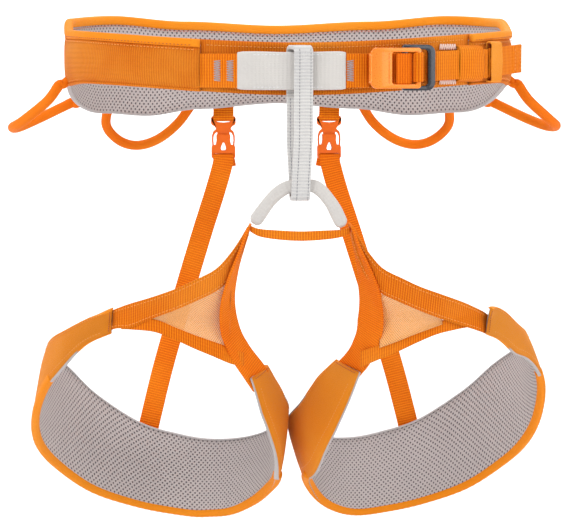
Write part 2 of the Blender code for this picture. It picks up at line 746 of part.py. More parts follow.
def build_riser(side, sign):
    """Stub on the belt, plug, socket and the strap down to the leg pad."""
    x = sign * RISER_X
    top = -38.8 * MM
    stub_y = CLIP_Y - 0.6 * MM
    pts = [(x, 118.3 * MM, -20.5 * MM), (x, 118.3 * MM, -29 * MM),
           (x, 119.2 * MM, -35 * MM), (x, stub_y - 0.3 * MM, -38.0 * MM)]
    pts = path_points(pts, 7)
    stations = []
    for p, t in zip(pts, tangents(pts)):
        stations.append((p, (RISER_W, 0, 0), (0, -t.z, t.y)))
    ribbon(side + "_riser_stub", "orange_webbing", stations, 1.2 * MM, chamfer=0.3 * MM)
    cell_body(side + "_riser_clip_plug", "orange_plastic",
              [-9.2, -7.9, -5.6, -3.4, -1.2, 1.2, 3.4, 5.6, 7.9, 9.2], [-1.2, 1.2],
              [-23.0, -22.0, -13.5, -7.2, -4.9, -2.3, 0.0], male_solid,
              (x, CLIP_Y, top))
    cell_body(side + "_riser_clip_socket", "orange_plastic",
              [-8.8, -7.6, -6.4, -1.4, 1.4, 6.4, 7.6, 8.8], [-3.2, -1.8, 1.8, 3.2],
              [-31.8, -30.4, -27.8, -26.0, -25.0, -22.5, -20.0, -16.5, -14.0], female_solid,
              (x, CLIP_Y, top))
    ctrl = [(sign * 39.6 * MM, 121.8 * MM, -71.4 * MM), (sign * 52 * MM, 117.0 * MM, -112 * MM),
            (sign * 68 * MM, 110.0 * MM, -166 * MM), (sign * 85 * MM, 101.0 * MM, -222 * MM),
            (sign * 93.5 * MM, 95.6 * MM, -255 * MM), (sign * 98.5 * MM, 95.0 * MM, -274 * MM)]
    pts = path_points(ctrl, 20)
    stations = []
    for p, t in zip(pts, tangents(pts)):
        across = Vector((0, 1, 0)).cross(t).normalized()
        stations.append((p, across * RISER_W, t.cross(across)))
    stations[0] = (stations[0][0], Vector((RISER_W, 0, 0)), Vector((0, 1, 0)))
    ribbon(side + "_riser_strap", "orange_webbing", stations, RISER_T)


# ---- gear loops -------------------------------------------------------------------
def circle_rings(points, radius, count):
    """Rings round a path with a steady, untwisted frame."""
    tang = tangents(points)
    side = Vector((0, 0, 1)).cross(tang[0])
    if side.length < 0.2:
        side = Vector((1, 0, 0)).cross(tang[0])
    side.normalize()
    rings = []
    for p, t in zip(points, tang):
        side = (side - t * side.dot(t)).normalized()
        up = t.cross(side)
        ring = []
        for k in range(count):
            a = 2 * math.pi * k / count
            ring.append(p + side * math.cos(a) * radius + up * math.sin(a) * radius)
        rings.append(ring)
    return rings


def build_gear_loop(name, sign, ctrl):
    """A stiff tube bent into a loop on a cord whose ends are sewn to the belt."""
    ctrl = [Vector((sign * p[0], p[1], p[2])) for p in ctrl]
    pts = path_points(ctrl, 25)
    tang = tangents(pts)
    loft_tube(name + "_tube", "orange_plastic", circle_rings(pts, GEAR_R, 10),
              circle_rings(pts, GEAR_BORE, 10))
    cord = [pts[0] - tang[0] * 2.0 * MM] + pts + [pts[-1] + tang[-1] * 2.0 * MM]
    loft(name + "_cord", "orange_webbing", circle_rings(cord, CORD_R, 6))


def build_gear_loops():
    """Two stiff side loops and two rear loops."""
    front = plan(0.197, 9.6 * MM, -0.0125)
    back = plan(0.262, 9.6 * MM, -0.0265)
    side = [front, (0.1680, -0.0150, -0.0240), (0.1850, -0.0020, -0.0380),
            (0.1925, 0.0170, -0.0430), (0.1885, 0.0360, -0.0435), (0.1750, 0.0490, -0.0380), back]
    first = plan(0.302, 9.6 * MM, -0.0290)
    last = plan(0.368, 9.6 * MM, -0.0270)
    rear = [first, (0.1265, 0.1010, -0.0450), (0.1170, 0.1135, -0.0565),
            (0.1035, 0.1210, -0.0605), (0.0880, 0.1250, -0.0560), (0.0730, 0.1250, -0.0440), last]
    for label, sign in (("right", -1), ("left", 1)):
        build_gear_loop(label + "_side_gear_loop", sign, side)
        build_gear_loop(label + "_rear_gear_loop", sign, rear)


def build_keepers():
    """Two keepers and the strap's free tail."""
    sleeve_round_strap("strap_keeper_front", KEEPER_A, KEEPER_A + 0.0115, -8.6 * MM, 14.2 * MM,
                       2.15 * MM, 9.0 * MM, 0.4 * MM)
    base = plan(0.1390, 0.0, 0.0)
    t, n = plan_frame(0.1430)
    low = -9.4 * MM
    high = 16.4 * MM

    def at(u, off, z):
        return base + t * u + n * off + Vector((0, 0, z))

    near = 5.5 * MM
    far = 10.2 * MM
    out = []
    inn = []
    for u in (-7.5 * MM, 0.0, 7.5 * MM):
        out.append(section([at(u, near, low), at(u, far, low), at(u, far, high),
                            at(u, near, high)], 0.6 * MM))
        a = near + 1.1 * MM
        b = far - 1.1 * MM
        inn.append(section([at(u, a, low + 1.2 * MM), at(u, b, low + 1.2 * MM),
                            at(u, b, high - 1.2 * MM), at(u, a, high - 1.2 * MM)], 0.2 * MM))
    loft_tube("strap_keeper_rear", "orange_webbing", out, inn)
    stations = []
    mid = (near + far) * 0.5
    for i in range(9):
        u = (-6.5 + 42.0 * i / 8) * MM
        stations.append((at(u, mid, 3.6 * MM + u * 0.06), (0, 0, 19.5 * MM), n))
    ribbon("strap_tail", "orange_webbing", stations, 1.5 * MM)


def main():
    """Build every sub-part."""
    clear_scene()
    build_belt()
    build_tie_in()
    build_buckle()
    build_keepers()
    build_belay()
    for side, sign in (("right", -1), ("left", 1)):
        build_leg(side, sign)
        build_riser(side, sign)
    build_gear_loops()


main()
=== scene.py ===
import math

import bmesh
import bpy
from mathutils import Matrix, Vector, noise


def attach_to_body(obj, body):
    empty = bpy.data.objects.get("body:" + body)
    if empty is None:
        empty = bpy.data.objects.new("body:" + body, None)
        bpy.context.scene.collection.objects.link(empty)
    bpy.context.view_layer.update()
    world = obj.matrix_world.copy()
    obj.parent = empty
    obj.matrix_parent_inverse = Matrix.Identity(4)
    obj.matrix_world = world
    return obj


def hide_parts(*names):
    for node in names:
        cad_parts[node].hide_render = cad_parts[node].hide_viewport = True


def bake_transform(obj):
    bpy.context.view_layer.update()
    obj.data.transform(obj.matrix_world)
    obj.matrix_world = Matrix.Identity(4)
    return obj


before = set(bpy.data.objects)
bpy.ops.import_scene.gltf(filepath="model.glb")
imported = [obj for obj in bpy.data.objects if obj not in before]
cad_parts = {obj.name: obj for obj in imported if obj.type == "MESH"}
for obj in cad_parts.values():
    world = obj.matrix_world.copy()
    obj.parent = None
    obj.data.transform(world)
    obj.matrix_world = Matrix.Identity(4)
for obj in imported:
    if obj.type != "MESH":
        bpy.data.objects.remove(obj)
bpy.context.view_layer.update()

MM = 0.001
ROOT = "waist_belt"


def clamp(x):
    return max(0.0, min(1.0, x))


def ease(t):
    """Smoothstep of a fraction."""
    return t * t * (3 - 2 * t)


def at(value, i):
    """Item i of a list, or the one value that serves every station."""
    return value[i] if isinstance(value, (list, tuple)) else value


# =====================================================================================
# node helpers
# =====================================================================================
class Nodes:
    """Short spelling for building a shader node tree."""

    def __init__(self, name):
        self.mat = bpy.data.materials.new(name)
        self.mat.use_nodes = True
        self.nt = self.mat.node_tree
        self.bsdf = self.nt.nodes["Principled BSDF"]

    def put(self, socket, value):
        if hasattr(value, "is_output") or hasattr(value, "links"):
            self.nt.links.new(value, socket)
        else:
            if isinstance(value, tuple) and len(value) == 3:
                value = (*value, 1.0)
            socket.default_value = value

    def node(self, kind, **props):
        n = self.nt.nodes.new(kind)
        for k, v in props.items():
            setattr(n, k, v)
        return n

    def math(self, op, a, b=0.0, c=0.0, clamp=False):
        n = self.node("ShaderNodeMath", operation=op, use_clamp=clamp)
        self.put(n.inputs[0], a)
        self.put(n.inputs[1], b)
        self.put(n.inputs[2], c)
        return n.outputs[0]

    def mul(self, a, b, clamp=False):
        return self.math("MULTIPLY", a, b, clamp=clamp)

    def add(self, a, b):
        return self.math("ADD", a, b)

    def sub(self, a, b):
        return self.math("SUBTRACT", a, b)

    def uv(self):
        n = self.node("ShaderNodeTexCoord")
        s = self.node("ShaderNodeSeparateXYZ")
        self.nt.links.new(n.outputs["UV"], s.inputs[0])
        return s.outputs[0], s.outputs[1]

    def position(self):
        return self.node("ShaderNodeTexCoord").outputs["Object"]

    def noise(self, scale, detail=3.0):
        n = self.node("ShaderNodeTexNoise")
        n.inputs["Scale"].default_value = scale
        n.inputs["Detail"].default_value = detail
        n.inputs["Roughness"].default_value = 0.55
        self.nt.links.new(self.position(), n.inputs["Vector"])
        return n.outputs[0]

    def ramp(self, value, lo, hi, a=0.0, b=1.0):
        n = self.node("ShaderNodeMapRange")
        self.put(n.inputs[0], value)
        for i, v in zip((1, 2, 3, 4), (lo, hi, a, b)):
            n.inputs[i].default_value = v
        return n.outputs[0]

    def mix(self, factor, a, b):
        n = self.node("ShaderNodeMix", data_type="RGBA", blend_type="MIX")
        self.put(n.inputs[0], factor)
        for s, v in ((n.inputs[6], a), (n.inputs[7], b)):
            if isinstance(v, tuple):
                s.default_value = (*v, 1.0)
            else:
                self.nt.links.new(v, s)
        return n.outputs[2]

    def sine(self, x, period):
        wave = self.math("SINE", self.mul(x, 2 * math.pi / period))
        return self.math("MULTIPLY_ADD", wave, 0.5, 0.5)

    def bump(self, height, distance):
        n = self.node("ShaderNodeBump")
        n.inputs["Strength"].default_value = 1.0
        n.inputs["Distance"].default_value = distance
        self.nt.links.new(height, n.inputs["Height"])
        self.nt.links.new(n.outputs[0], self.bsdf.inputs["Normal"])

    def done(self, colour, rough, sheen=0.0, metal=0.0, spec=0.4, coat=0.0):
        self.put(self.bsdf.inputs["Base Color"], colour)
        self.put(self.bsdf.inputs["Roughness"], rough)
        self.bsdf.inputs["Metallic"].default_value = metal
        self.bsdf.inputs["Specular IOR Level"].default_value = spec
        self.bsdf.inputs["Sheen Weight"].default_value = sheen
        self.bsdf.inputs["Sheen Roughness"].default_value = 0.45
        self.bsdf.inputs["Coat Weight"].default_value = coat
        return self.mat


def ribbed(name, base, dark, pale, pitch=1.25 * MM, lines=2.1 * MM, depth=0.00028, sheen=0.25,
           groove_shade=0.55, fold=0.35):
    """Woven fabric with ribs across its length and fine yarn lines along it; painted shade darkens the rib
    grooves and pale noise patches are a painted highlight on soft folds.
    """
    n = Nodes(name)
    u, v = n.uv()
    wob = n.mul(n.sub(n.noise(60.0), 0.5), 0.0006)
    rib = n.sine(n.add(u, wob), pitch)
    yarn = n.sine(v, lines)
    cross = n.sine(v, 0.55 * MM)
    fine = n.noise(2600.0, 2.0)
    wide = n.noise(14.0, 3.0)
    height = n.add(n.mul(rib, 0.72), n.mul(n.mul(cross, yarn), 0.28))
    # darker where the rib height is low: painted shade in the grooves between ribs, by the groove_shade
    # amount
    col = n.mix(n.mul(n.sub(1.0, height), groove_shade, clamp=True), base, dark)
    # pale patches placed by large noise, amount set by fold: painted highlight of light on soft folds
    col = n.mix(n.ramp(wide, 0.42, 0.68, 0.0, fold), col, pale)
    col = n.mix(n.ramp(fine, 0.35, 0.7, 0.0, 0.16), col, dark)
    n.bump(n.add(height, n.mul(fine, 0.25)), depth)
    return n.done(col, n.ramp(height, 0.0, 1.0, 0.76, 0.62), sheen=sheen, spec=0.10)


def plain_weave(name, base, dark, pale, pitch=0.62 * MM, sheen=0.3, fold=0.4):
    """Close plain weave used on the pad covers, with pale noise patches as a painted highlight on soft
    folds.
    """
    n = Nodes(name)
    u, v = n.uv()
    a = n.sine(u, pitch)
    b = n.sine(v, pitch)
    weave = n.math("ABSOLUTE", n.sub(a, b))
    fine = n.noise(1800.0, 2.0)
    wide = n.noise(11.0, 4.0)
    col = n.mix(n.mul(weave, 0.28), base, dark)
    # pale patches placed by large noise, amount set by fold: painted highlight of light on soft folds
    col = n.mix(n.ramp(wide, 0.4, 0.7, 0.0, fold), col, pale)
    col = n.mix(n.ramp(fine, 0.4, 0.75, 0.0, 0.18), col, dark)
    n.bump(n.add(weave, n.mul(fine, 0.3)), 0.00016)
    return n.done(col, n.ramp(wide, 0.3, 0.7, 0.74, 0.6), sheen=sheen, spec=0.12)


def spacer_mesh(name, base, dark, hole_shade):
    """Perforated spacer mesh: staggered round holes in a fine knit, coloured near black as painted shade
    inside them.
    """
    n = Nodes(name)
    u, v = n.uv()
    pitch = 3.6 * MM
    pu = n.mul(n.add(u, v), 1.0 / pitch)
    pv = n.mul(n.sub(u, v), 1.0 / pitch)
    cu = n.sub(n.math("FRACT", pu), 0.5)
    cv = n.sub(n.math("FRACT", pv), 0.5)
    d = n.math("SQRT", n.add(n.mul(cu, cu), n.mul(cv, cv)))
    jitter = n.mul(n.noise(500.0, 2.0), 0.10)
    dot = n.ramp(n.add(d, jitter), 0.25, 0.33, 1.0, 0.0)
    knit = n.mul(n.sine(n.add(u, v), 0.66 * MM), n.sine(v, 0.8 * MM))
    wide = n.noise(16.0, 3.0)
    col = n.mix(n.mul(knit, 0.22), base, dark)
    col = n.mix(n.ramp(wide, 0.35, 0.7, 0.0, 0.22), col, dark)
    # holes filled with a near-black colour: painted shade inside the perforations
    col = n.mix(n.mul(dot, 0.88), col, hole_shade)
    h = n.sub(n.mul(knit, 0.25), n.mul(dot, 1.1))
    n.bump(h, 0.0005)
    return n.done(col, 0.85, sheen=0.15, spec=0.12)


def sheer_mesh(name, base, dark):
    """See-through net: threads both ways with open holes between them."""
    n = Nodes(name)
    u, v = n.uv()
    p = 1.5 * MM
    a = n.sine(n.add(u, v), p)
    b = n.sine(n.sub(u, v), p)
    net = n.math("MAXIMUM", a, b)
    alpha = n.ramp(net, 0.62, 0.80, 0.42, 1.0)
    col = n.mix(n.ramp(net, 0.6, 1.0, 0.4, 0.0), base, dark)
    n.bump(net, 0.0002)
    mat = n.done(col, 0.7, sheen=0.08, spec=0.15)
    n.put(n.bsdf.inputs["Alpha"], alpha)
    mat.surface_render_method = "DITHERED"
    return mat


def white_tape(name, base, dark, pale, ribs=1.9 * MM, depth=0.0002, groove_shade=0.22):
    """White polyethylene tape with soft ribs and faint yarn lines; painted shade darkens the rib grooves.
    """
    n = Nodes(name)
    u, v = n.uv()
    rib = n.sine(u, ribs)
    yarn = n.sine(v, 1.1 * MM)
    fine = n.noise(2200.0, 2.0)
    wide = n.noise(26.0, 3.0)
    # darker in the rib grooves: painted shade, by the groove_shade amount
    col = n.mix(n.mul(n.sub(1.0, rib), groove_shade), base, dark)
    col = n.mix(n.mul(yarn, 0.10), col, dark)
    col = n.mix(n.ramp(wide, 0.42, 0.7, 0.0, 0.25), col, dark)
    col = n.mix(n.ramp(fine, 0.5, 0.8, 0.0, 0.3), col, pale)
    n.bump(n.add(n.mul(rib, 0.6), n.mul(yarn, 0.4)), depth)
    return n.done(col, n.ramp(rib, 0.0, 1.0, 0.62, 0.5), sheen=0.08, spec=0.2)


def solid(name, base, dark, rough, metal=0.0, spec=0.5, coat=0.0, wear=None):
    """Moulded or anodised surface with fine grain, mottling and optional edge wear."""
    n = Nodes(name)
    fine = n.noise(900.0, 3.0)
    wide = n.noise(45.0, 3.0)
    col = n.mix(n.ramp(wide, 0.35, 0.7, 0.0, 0.35), base, dark)
    if wear:
        geo = n.node("ShaderNodeNewGeometry")
        edge = n.ramp(geo.outputs["Pointiness"], 0.53, 0.60, 0.0, 0.6)
        scuff = n.ramp(n.noise(260.0, 4.0), 0.45, 0.62, 0.15, 1.0)
        col = n.mix(n.mul(edge, scuff), col, wear)
    n.bump(fine, 0.000008)
    return n.done(col, n.ramp(fine, 0.3, 0.7, rough - 0.06, rough + 0.08), metal=metal, spec=spec,
                  coat=coat)


def thread(name, base, dark):
    """Sewing thread."""
    n = Nodes(name)
    tw = n.noise(3000.0, 2.0)
    col = n.mix(n.ramp(tw, 0.35, 0.65, 0.0, 0.6), base, dark)
    n.bump(tw, 0.00008)
    return n.done(col, 0.55, sheen=0.2, spec=0.4)


ORANGE = (0.70, 0.205, 0.008)
ORANGE_D = (0.47, 0.070, 0.002)
# pale orange used for the painted highlight on soft folds
ORANGE_HIGHLIGHT = (0.90, 0.40, 0.045)
WHITE = (0.57, 0.545, 0.515)
WHITE_L = (0.66, 0.645, 0.62)

M_SHELL = ribbed("shell_ribbed", ORANGE, ORANGE_D, ORANGE_HIGHLIGHT, pitch=1.75 * MM, lines=6 * MM,
                 groove_shade=0.8, fold=0.35, depth=0.00035, sheen=0.03)
M_COVER = plain_weave("pad_cover", (0.86, 0.275, 0.010), (0.56, 0.09, 0.002), (0.93, 0.42, 0.06),
                      sheen=0.05)
M_BINDING = plain_weave("binding_tape", (0.88, 0.275, 0.008), (0.56, 0.09, 0.002), ORANGE_HIGHLIGHT,
                        pitch=0.8 * MM, fold=0.3, sheen=0.03)
M_WEB = ribbed("webbing_orange", (0.89, 0.265, 0.004), (0.54, 0.070, 0.001), ORANGE_HIGHLIGHT,
               pitch=1.8 * MM, lines=2.2 * MM, groove_shade=0.9, fold=0.25, depth=0.0004, sheen=0.02)
M_WEB_DEEP = ribbed("webbing_deep", (0.90, 0.220, 0.003), (0.55, 0.065, 0.001),
                    (0.93, 0.33, 0.015), pitch=1.8 * MM, lines=1.6 * MM, groove_shade=0.8, fold=0.3,
                    depth=0.00035, sheen=0.02)
# the last colour is the painted shade inside the mesh's holes
M_MESH = spacer_mesh("spacer_mesh_grey", (0.525, 0.470, 0.460), (0.335, 0.290, 0.295),
                     (0.075, 0.06, 0.07))
M_PIPE = plain_weave("grey_edge", (0.50, 0.470, 0.470), (0.31, 0.285, 0.29), (0.62, 0.59, 0.59),
                     sheen=0.1)
M_SHEER = sheer_mesh("sheer_orange", (0.87, 0.46, 0.18), (0.78, 0.24, 0.03))
M_WHITE = white_tape("white_sleeve", WHITE, (0.42, 0.40, 0.40), (0.68, 0.66, 0.63), ribs=2.6 * MM,
                     groove_shade=0.10, depth=0.00016)
M_LOOP = white_tape("white_loop", WHITE_L, (0.37, 0.36, 0.38), (0.80, 0.79, 0.77), ribs=2.15 * MM,
                    groove_shade=0.45, depth=0.00035)
M_TACK = thread("tack_grey", (0.46, 0.34, 0.33), (0.20, 0.13, 0.12))
M_TACK_P = thread("tack_pink", (0.83, 0.66, 0.60), (0.60, 0.34, 0.24))
M_THREAD = thread("thread_orange", (0.93, 0.40, 0.06), (0.60, 0.12, 0.01))
M_THREAD_D = thread("thread_deep", (0.50, 0.07, 0.004), (0.30, 0.035, 0.002))
M_THREAD_G = thread("thread_grey", (0.16, 0.165, 0.19), (0.07, 0.07, 0.09))
M_ALU = solid("anodised_orange", (0.90, 0.235, 0.008), (0.80, 0.16, 0.004), 0.30, metal=0.35,
              coat=0.35, wear=(0.92, 0.42, 0.16))
M_DARK = solid("anodised_dark", (0.040, 0.043, 0.052), (0.018, 0.018, 0.024), 0.22, metal=0.8,
               coat=0.5, wear=(0.16, 0.17, 0.20))
M_PLASTIC = solid("clip_plastic", (0.76, 0.130, 0.002), (0.62, 0.085, 0.001), 0.38, spec=0.35,
                  coat=0.06)
M_TUBE = ribbed("tube_textile", (0.80, 0.170, 0.002), (0.56, 0.08, 0.001), (0.88, 0.33, 0.03),
                pitch=0.9 * MM, lines=1.2 * MM, depth=0.00012, groove_shade=0.35, fold=0.3, sheen=0.02)


# =====================================================================================
# plan of the waist ring and the thigh surface, as in the CAD
# =====================================================================================
WAIST_A, WAIST_B, WAIST_N = 150.5 * MM, 111.5 * MM, 2.4


def _super(t):
    c, s = math.sin(t), -math.cos(t)
    return (WAIST_A * math.copysign(abs(c) ** (2 / WAIST_N), c),
            WAIST_B * math.copysign(abs(s) ** (2 / WAIST_N), s))


def _plan_table():
    rows, total, last = [], 0.0, _super(0.0)
    for i in range(7201):
        h = _super(2 * math.pi * i / 7200)
        total += math.hypot(h[0] - last[0], h[1] - last[1])
        rows.append((total, h[0], h[1]))
        last = h
    return rows


PLAN = _plan_table()
RING = PLAN[-1][0]


def plan_raw(s):
    """Point of the waist's outline at arc length s from the front, towards the wearer's left."""
    s = s % RING
    lo, hi = 0, len(PLAN) - 1
    while hi - lo > 1:
        mid = (lo + hi) // 2
        if PLAN[mid][0] <= s:
            lo = mid
        else:
            hi = mid
    a, b = PLAN[lo], PLAN[hi]
    t = (s - a[0]) / max(b[0] - a[0], 1e-12)
    return a[1] + (b[1] - a[1]) * t, a[2] + (b[2] - a[2]) * t


def plan_frame(s):
    """Directions along and out of the waist's outline."""
    ax, ay = plan_raw(s - 0.002)
    bx, by = plan_raw(s + 0.002)
    t = Vector((bx - ax, by - ay, 0)).normalized()
    return t, Vector((t.y, -t.x, 0))


def plan(s, off, z=0.0):
    """Point at arc length s, off outside the waist's outline."""
    x, y = plan_raw(s)
    _, n = plan_frame(s)
    return Vector((x + n.x * off, y + n.y * off, z))


def table(rows, x):
    """Value at x of a list of (x, y) rows, with smooth steps between them."""
    if x <= rows[0][0]:
        return rows[0][1]
    for (xa, ya), (xb, yb) in zip(rows, rows[1:]):
        if x <= xb:
            return ya + (yb - ya) * ease((x - xa) / (xb - xa))
    return rows[-1][1]


BELT_TOP = [(0.0, 0.0172), (0.19, 0.0250), (0.235, 0.033), (0.30, 0.035), (0.36, 0.031),
            (0.4276, 0.028)]
BELT_BOTTOM = [(0.0, -0.0176), (0.155, -0.0105), (0.20, -0.0130), (0.29, -0.0348),
               (0.33, -0.0375), (0.37, -0.033), (0.4276, -0.029)]


def fold(s):
    """Arc length from the front, the same on both sides."""
    s = s % RING
    return min(s, RING - s)


def belt_top(s):
    return table(BELT_TOP, fold(s))


def belt_bottom(s):
    return table(BELT_BOTTOM, fold(s))


STRAP_Z = -1.4 * MM


def strap_offset(s):
    rows = [(-0.0655, 3.3 * MM), (-0.03, 9.5 * MM), (-0.006, 12.3 * MM), (0.014, 11.2 * MM),
            (0.03, 8.0 * MM), (0.0425, 6.6 * MM), (0.05, 5.4 * MM), (0.06, 4.4 * MM)]
    return table(rows, s)


def buckle_point(u, n, z=0.0):
    """Point in the buckle's own frame, in millimetres along, out and up."""
    base = plan(0.067, 5.2 * MM, 0.0)
    t, out = plan_frame(0.067)
    return base + t * (u * MM) + out * (n * MM) + Vector((0, 0, z * MM))


LEG_CX, LEG_RX, LEG_CY, LEG_RY = 90.5 * MM, 89.5 * MM, 3.0 * MM, 88.0 * MM


def leg_point(sign, angle, z, depth=0.0):
    """Point on the thigh's surface; angle 0 is the front and 90 the outside, depth goes inwards."""
    a = math.radians(angle)
    out = max(0.0, math.sin(a)) ** 2
    grow = -0.20 * (z + 0.245) * out - depth
    lean = -0.79 * max(0.0, z + 0.170)
    x = LEG_CX + (LEG_RX + grow) * math.sin(a)
    y = LEG_CY + lean - (LEG_RY + grow) * math.cos(a)
    if sign > 0 and angle > 255:
        x += 6.0 * MM * ease(clamp((z + 0.275) / 0.06) * min(1.0, (angle - 255) / 25))
    return Vector((sign * x, y, z))


def angle_of(x):
    """Angle of the thigh's front surface at a distance x from the middle."""
    return math.degrees(math.asin(max(-1.0, min(1.0, (x - LEG_CX) / LEG_RX))))


# the pad's pattern: angle and height of its upper edge, then of its lower edge
PAD_EDGES = [
    (20, -0.1620, 24, -0.1810), (38, -0.1720, 40, -0.1900), (55, -0.1830, 58, -0.2085),
    (72, -0.1890, 74, -0.2250), (90, -0.1960, 90, -0.2460), (110, -0.2050, 108, -0.2700),
    (130, -0.2190, 128, -0.2930), (150, -0.2420, 148, -0.3140), (172, -0.2640, 168, -0.3260),
    (190, -0.2725, 186, -0.3320), (205, -0.2755, 203, -0.3335), (222, -0.2730, 218, -0.3270),
    (240, -0.2660, 234, -0.3130), (255, -0.2570, 250, -0.3010), (270, -0.2460, 266, -0.2940),
    (283, -0.2340, 284, -0.2850), (292, -0.2220, 297, -0.2610), (299, -0.2130, 309, -0.2360),
    (304.5, -0.2075, 321, -0.2140)]


def spline(rows, f):
    """Catmull-Rom value of a list of tuples at fraction f."""
    x = f * (len(rows) - 1)
    k = min(int(x), len(rows) - 2)
    t = x - k
    p1, p2 = rows[k], rows[k + 1]
    p0 = rows[k - 1] if k else tuple(2 * a - b for a, b in zip(p1, p2))
    p3 = rows[k + 2] if k + 2 < len(rows) else tuple(2 * a - b for a, b in zip(p2, p1))
    out = []
    for a, b, c, d in zip(p0, p1, p2, p3):
        out.append(0.5 * (2 * b + (c - a) * t + (2 * a - 5 * b + 4 * c - d) * t * t
                          + (3 * b - a - 3 * c + d) * t ** 3))
    return out


def lengths(points):
    """Running length at each point."""
    out = [0.0]
    for a, b in zip(points, points[1:]):
        out.append(out[-1] + (b - a).length)
    return out


def smooth(points, count):
    """Even Catmull-Rom resample of a control polygon."""
    pts = [tuple(p) for p in points]
    steps = 24 * (len(pts) - 1)
    dense = [Vector(spline(pts, i / steps)) for i in range(steps + 1)]
    length = lengths(dense)
    out, j = [], 0
    for i in range(count):
        goal = length[-1] * i / (count - 1)
        while j < len(length) - 2 and length[j + 1] < goal:
            j += 1
        span = max(length[j + 1] - length[j], 1e-12)
        out.append(dense[j].lerp(dense[j + 1], min(1.0, (goal - length[j]) / span)))
    return out


def tangents(points):
    last = len(points) - 1
    return [(points[min(i + 1, last)] - points[max(i - 1, 0)]).normalized()
            for i in range(last + 1)]


# =====================================================================================
# mesh builders; the swept ones write UVs in metres
# =====================================================================================
def link_object(name, data):
    obj = bpy.data.objects.new(name, data)
    bpy.context.scene.collection.objects.link(obj)
    return obj


def attach(obj, body, slot):
    """Attach to the body, if any; a piece given no body is left unattached. The slot is not used."""
    if body:
        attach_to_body(obj, body)
    return obj


def add_object(name, verts, faces, uvs, mat):
    """Smooth mesh object with one UV pair for each face corner."""
    mesh = bpy.data.meshes.new(name)
    mesh.from_pydata([tuple(v) for v in verts], [], faces)
    layer = mesh.uv_layers.new(name="UVMap")
    layer.data.foreach_set("uv", [c for uv in uvs for c in uv])
    bm = bmesh.new()
    bm.from_mesh(mesh)
    bmesh.ops.recalc_face_normals(bm, faces=bm.faces)
    bm.to_mesh(mesh)
    bm.free()
    mesh.materials.append(mat)
    mesh.polygons.foreach_set("use_smooth", [True] * len(mesh.polygons))
    return link_object(name, mesh)


def sweep(name, rings, us, vs, mat, closed=False):
    """Skin equal rings; us is one value a ring, vs one a section point plus the wrap."""
    n, verts, faces, uvs = len(rings[0]), [], [], []
    for ring in rings:
        verts.extend(ring)
    count = len(rings)
    last = count if closed else count - 1
    for i in range(last):
        b = (i + 1) % count
        ub = us[i + 1] if i + 1 < len(us) else us[i] + (us[i] - us[i - 1])
        for j in range(n):
            k = (j + 1) % n
            faces.append((i * n + j, i * n + k, b * n + k, b * n + j))
            uvs += [(us[i], vs[j]), (us[i], vs[j + 1]), (ub, vs[j + 1]), (ub, vs[j])]
    if not closed:
        for i in (0, count - 1):
            c = sum((Vector(p) for p in rings[i]), Vector()) / n
            verts.append(c)
            for j in range(n):
                k = (j + 1) % n
                faces.append((i * n + j, i * n + k, len(verts) - 1))
                uvs += [(us[i], vs[j]), (us[i], vs[j + 1]), (us[i] + 0.001, vs[j])]
    return add_object(name, verts, faces, uvs, mat)


# section of webbing, as fractions of its width and its thickness
SECTION = [(-0.5, -0.12), (-0.492, -0.40), (-0.465, -0.5), (-0.30, -0.5), (-0.1, -0.5),
           (0.1, -0.5), (0.30, -0.5), (0.465, -0.5), (0.492, -0.40), (0.5, -0.12),
           (0.5, 0.12), (0.492, 0.40), (0.465, 0.5), (0.30, 0.5), (0.1, 0.5),
           (-0.1, 0.5), (-0.30, 0.5), (-0.465, 0.5), (-0.492, 0.40), (-0.5, 0.12)]


def strap(name, mat, centres, wides, normals, thick, closed=False, body=None, slot="orange_webbing",
          crown=0.0, edge=0.12):
    """Webbing: flat faces with a slightly thicker selvedge."""
    rings = []
    for i, (c, w, nrm) in enumerate(zip(centres, wides, normals)):
        th = at(thick, i)
        nrm = Vector(nrm).normalized()
        w = Vector(w)
        ring = []
        for a, h in SECTION:
            puff = 1.0 + crown * (1 - (2 * a) ** 2) + edge * math.exp(-((abs(a) - 0.44) / 0.03) ** 2)
            ring.append(Vector(c) + w * a + nrm * (h * th * puff))
        rings.append(ring)
    width = Vector(wides[len(wides) // 2]).length
    vs = [a * width for a, _ in SECTION] + [-0.5 * width]
    obj = sweep(name, rings, lengths([Vector(c) for c in centres]), vs, mat, closed)
    return attach(obj, body, slot)


def zstrap(name, mat, pts, zc, high, thick, slot="orange_webbing", crown=0.0):
    """A strap of the belt whose width is vertical."""
    centres, wides, normals = [], [], []
    for i, (p, t) in enumerate(zip(pts, tangents(pts))):
        centres.append(Vector((p.x, p.y, at(zc, i))))
        wides.append(Vector((0, 0, at(high, i))))
        normals.append(Vector((t.y, -t.x, 0)))
    return strap(name, mat, centres, wides, normals, thick, body=ROOT, slot=slot, crown=crown)


def tube(name, mat, points, radius, body, seg=14):
    """Round tube along points, with a steady frame."""
    tang = tangents(points)
    side = Vector((0, 0, 1)).cross(tang[0])
    if side.length < 0.2:
        side = Vector((1, 0, 0)).cross(tang[0])
    side.normalize()
    rings = []
    for i, (p, t) in enumerate(zip(points, tang)):
        side = (side - t * side.dot(t)).normalized()
        up = t.cross(side)
        r = at(radius, i)
        rings.append([p + side * math.cos(2 * math.pi * k / seg) * r
                      + up * math.sin(2 * math.pi * k / seg) * r for k in range(seg)])
    vs = [2 * math.pi * at(radius, 0) * k / seg for k in range(seg + 1)]
    obj = sweep(name, rings, lengths(points), vs, mat)
    if body:
        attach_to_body(obj, body)
    return obj


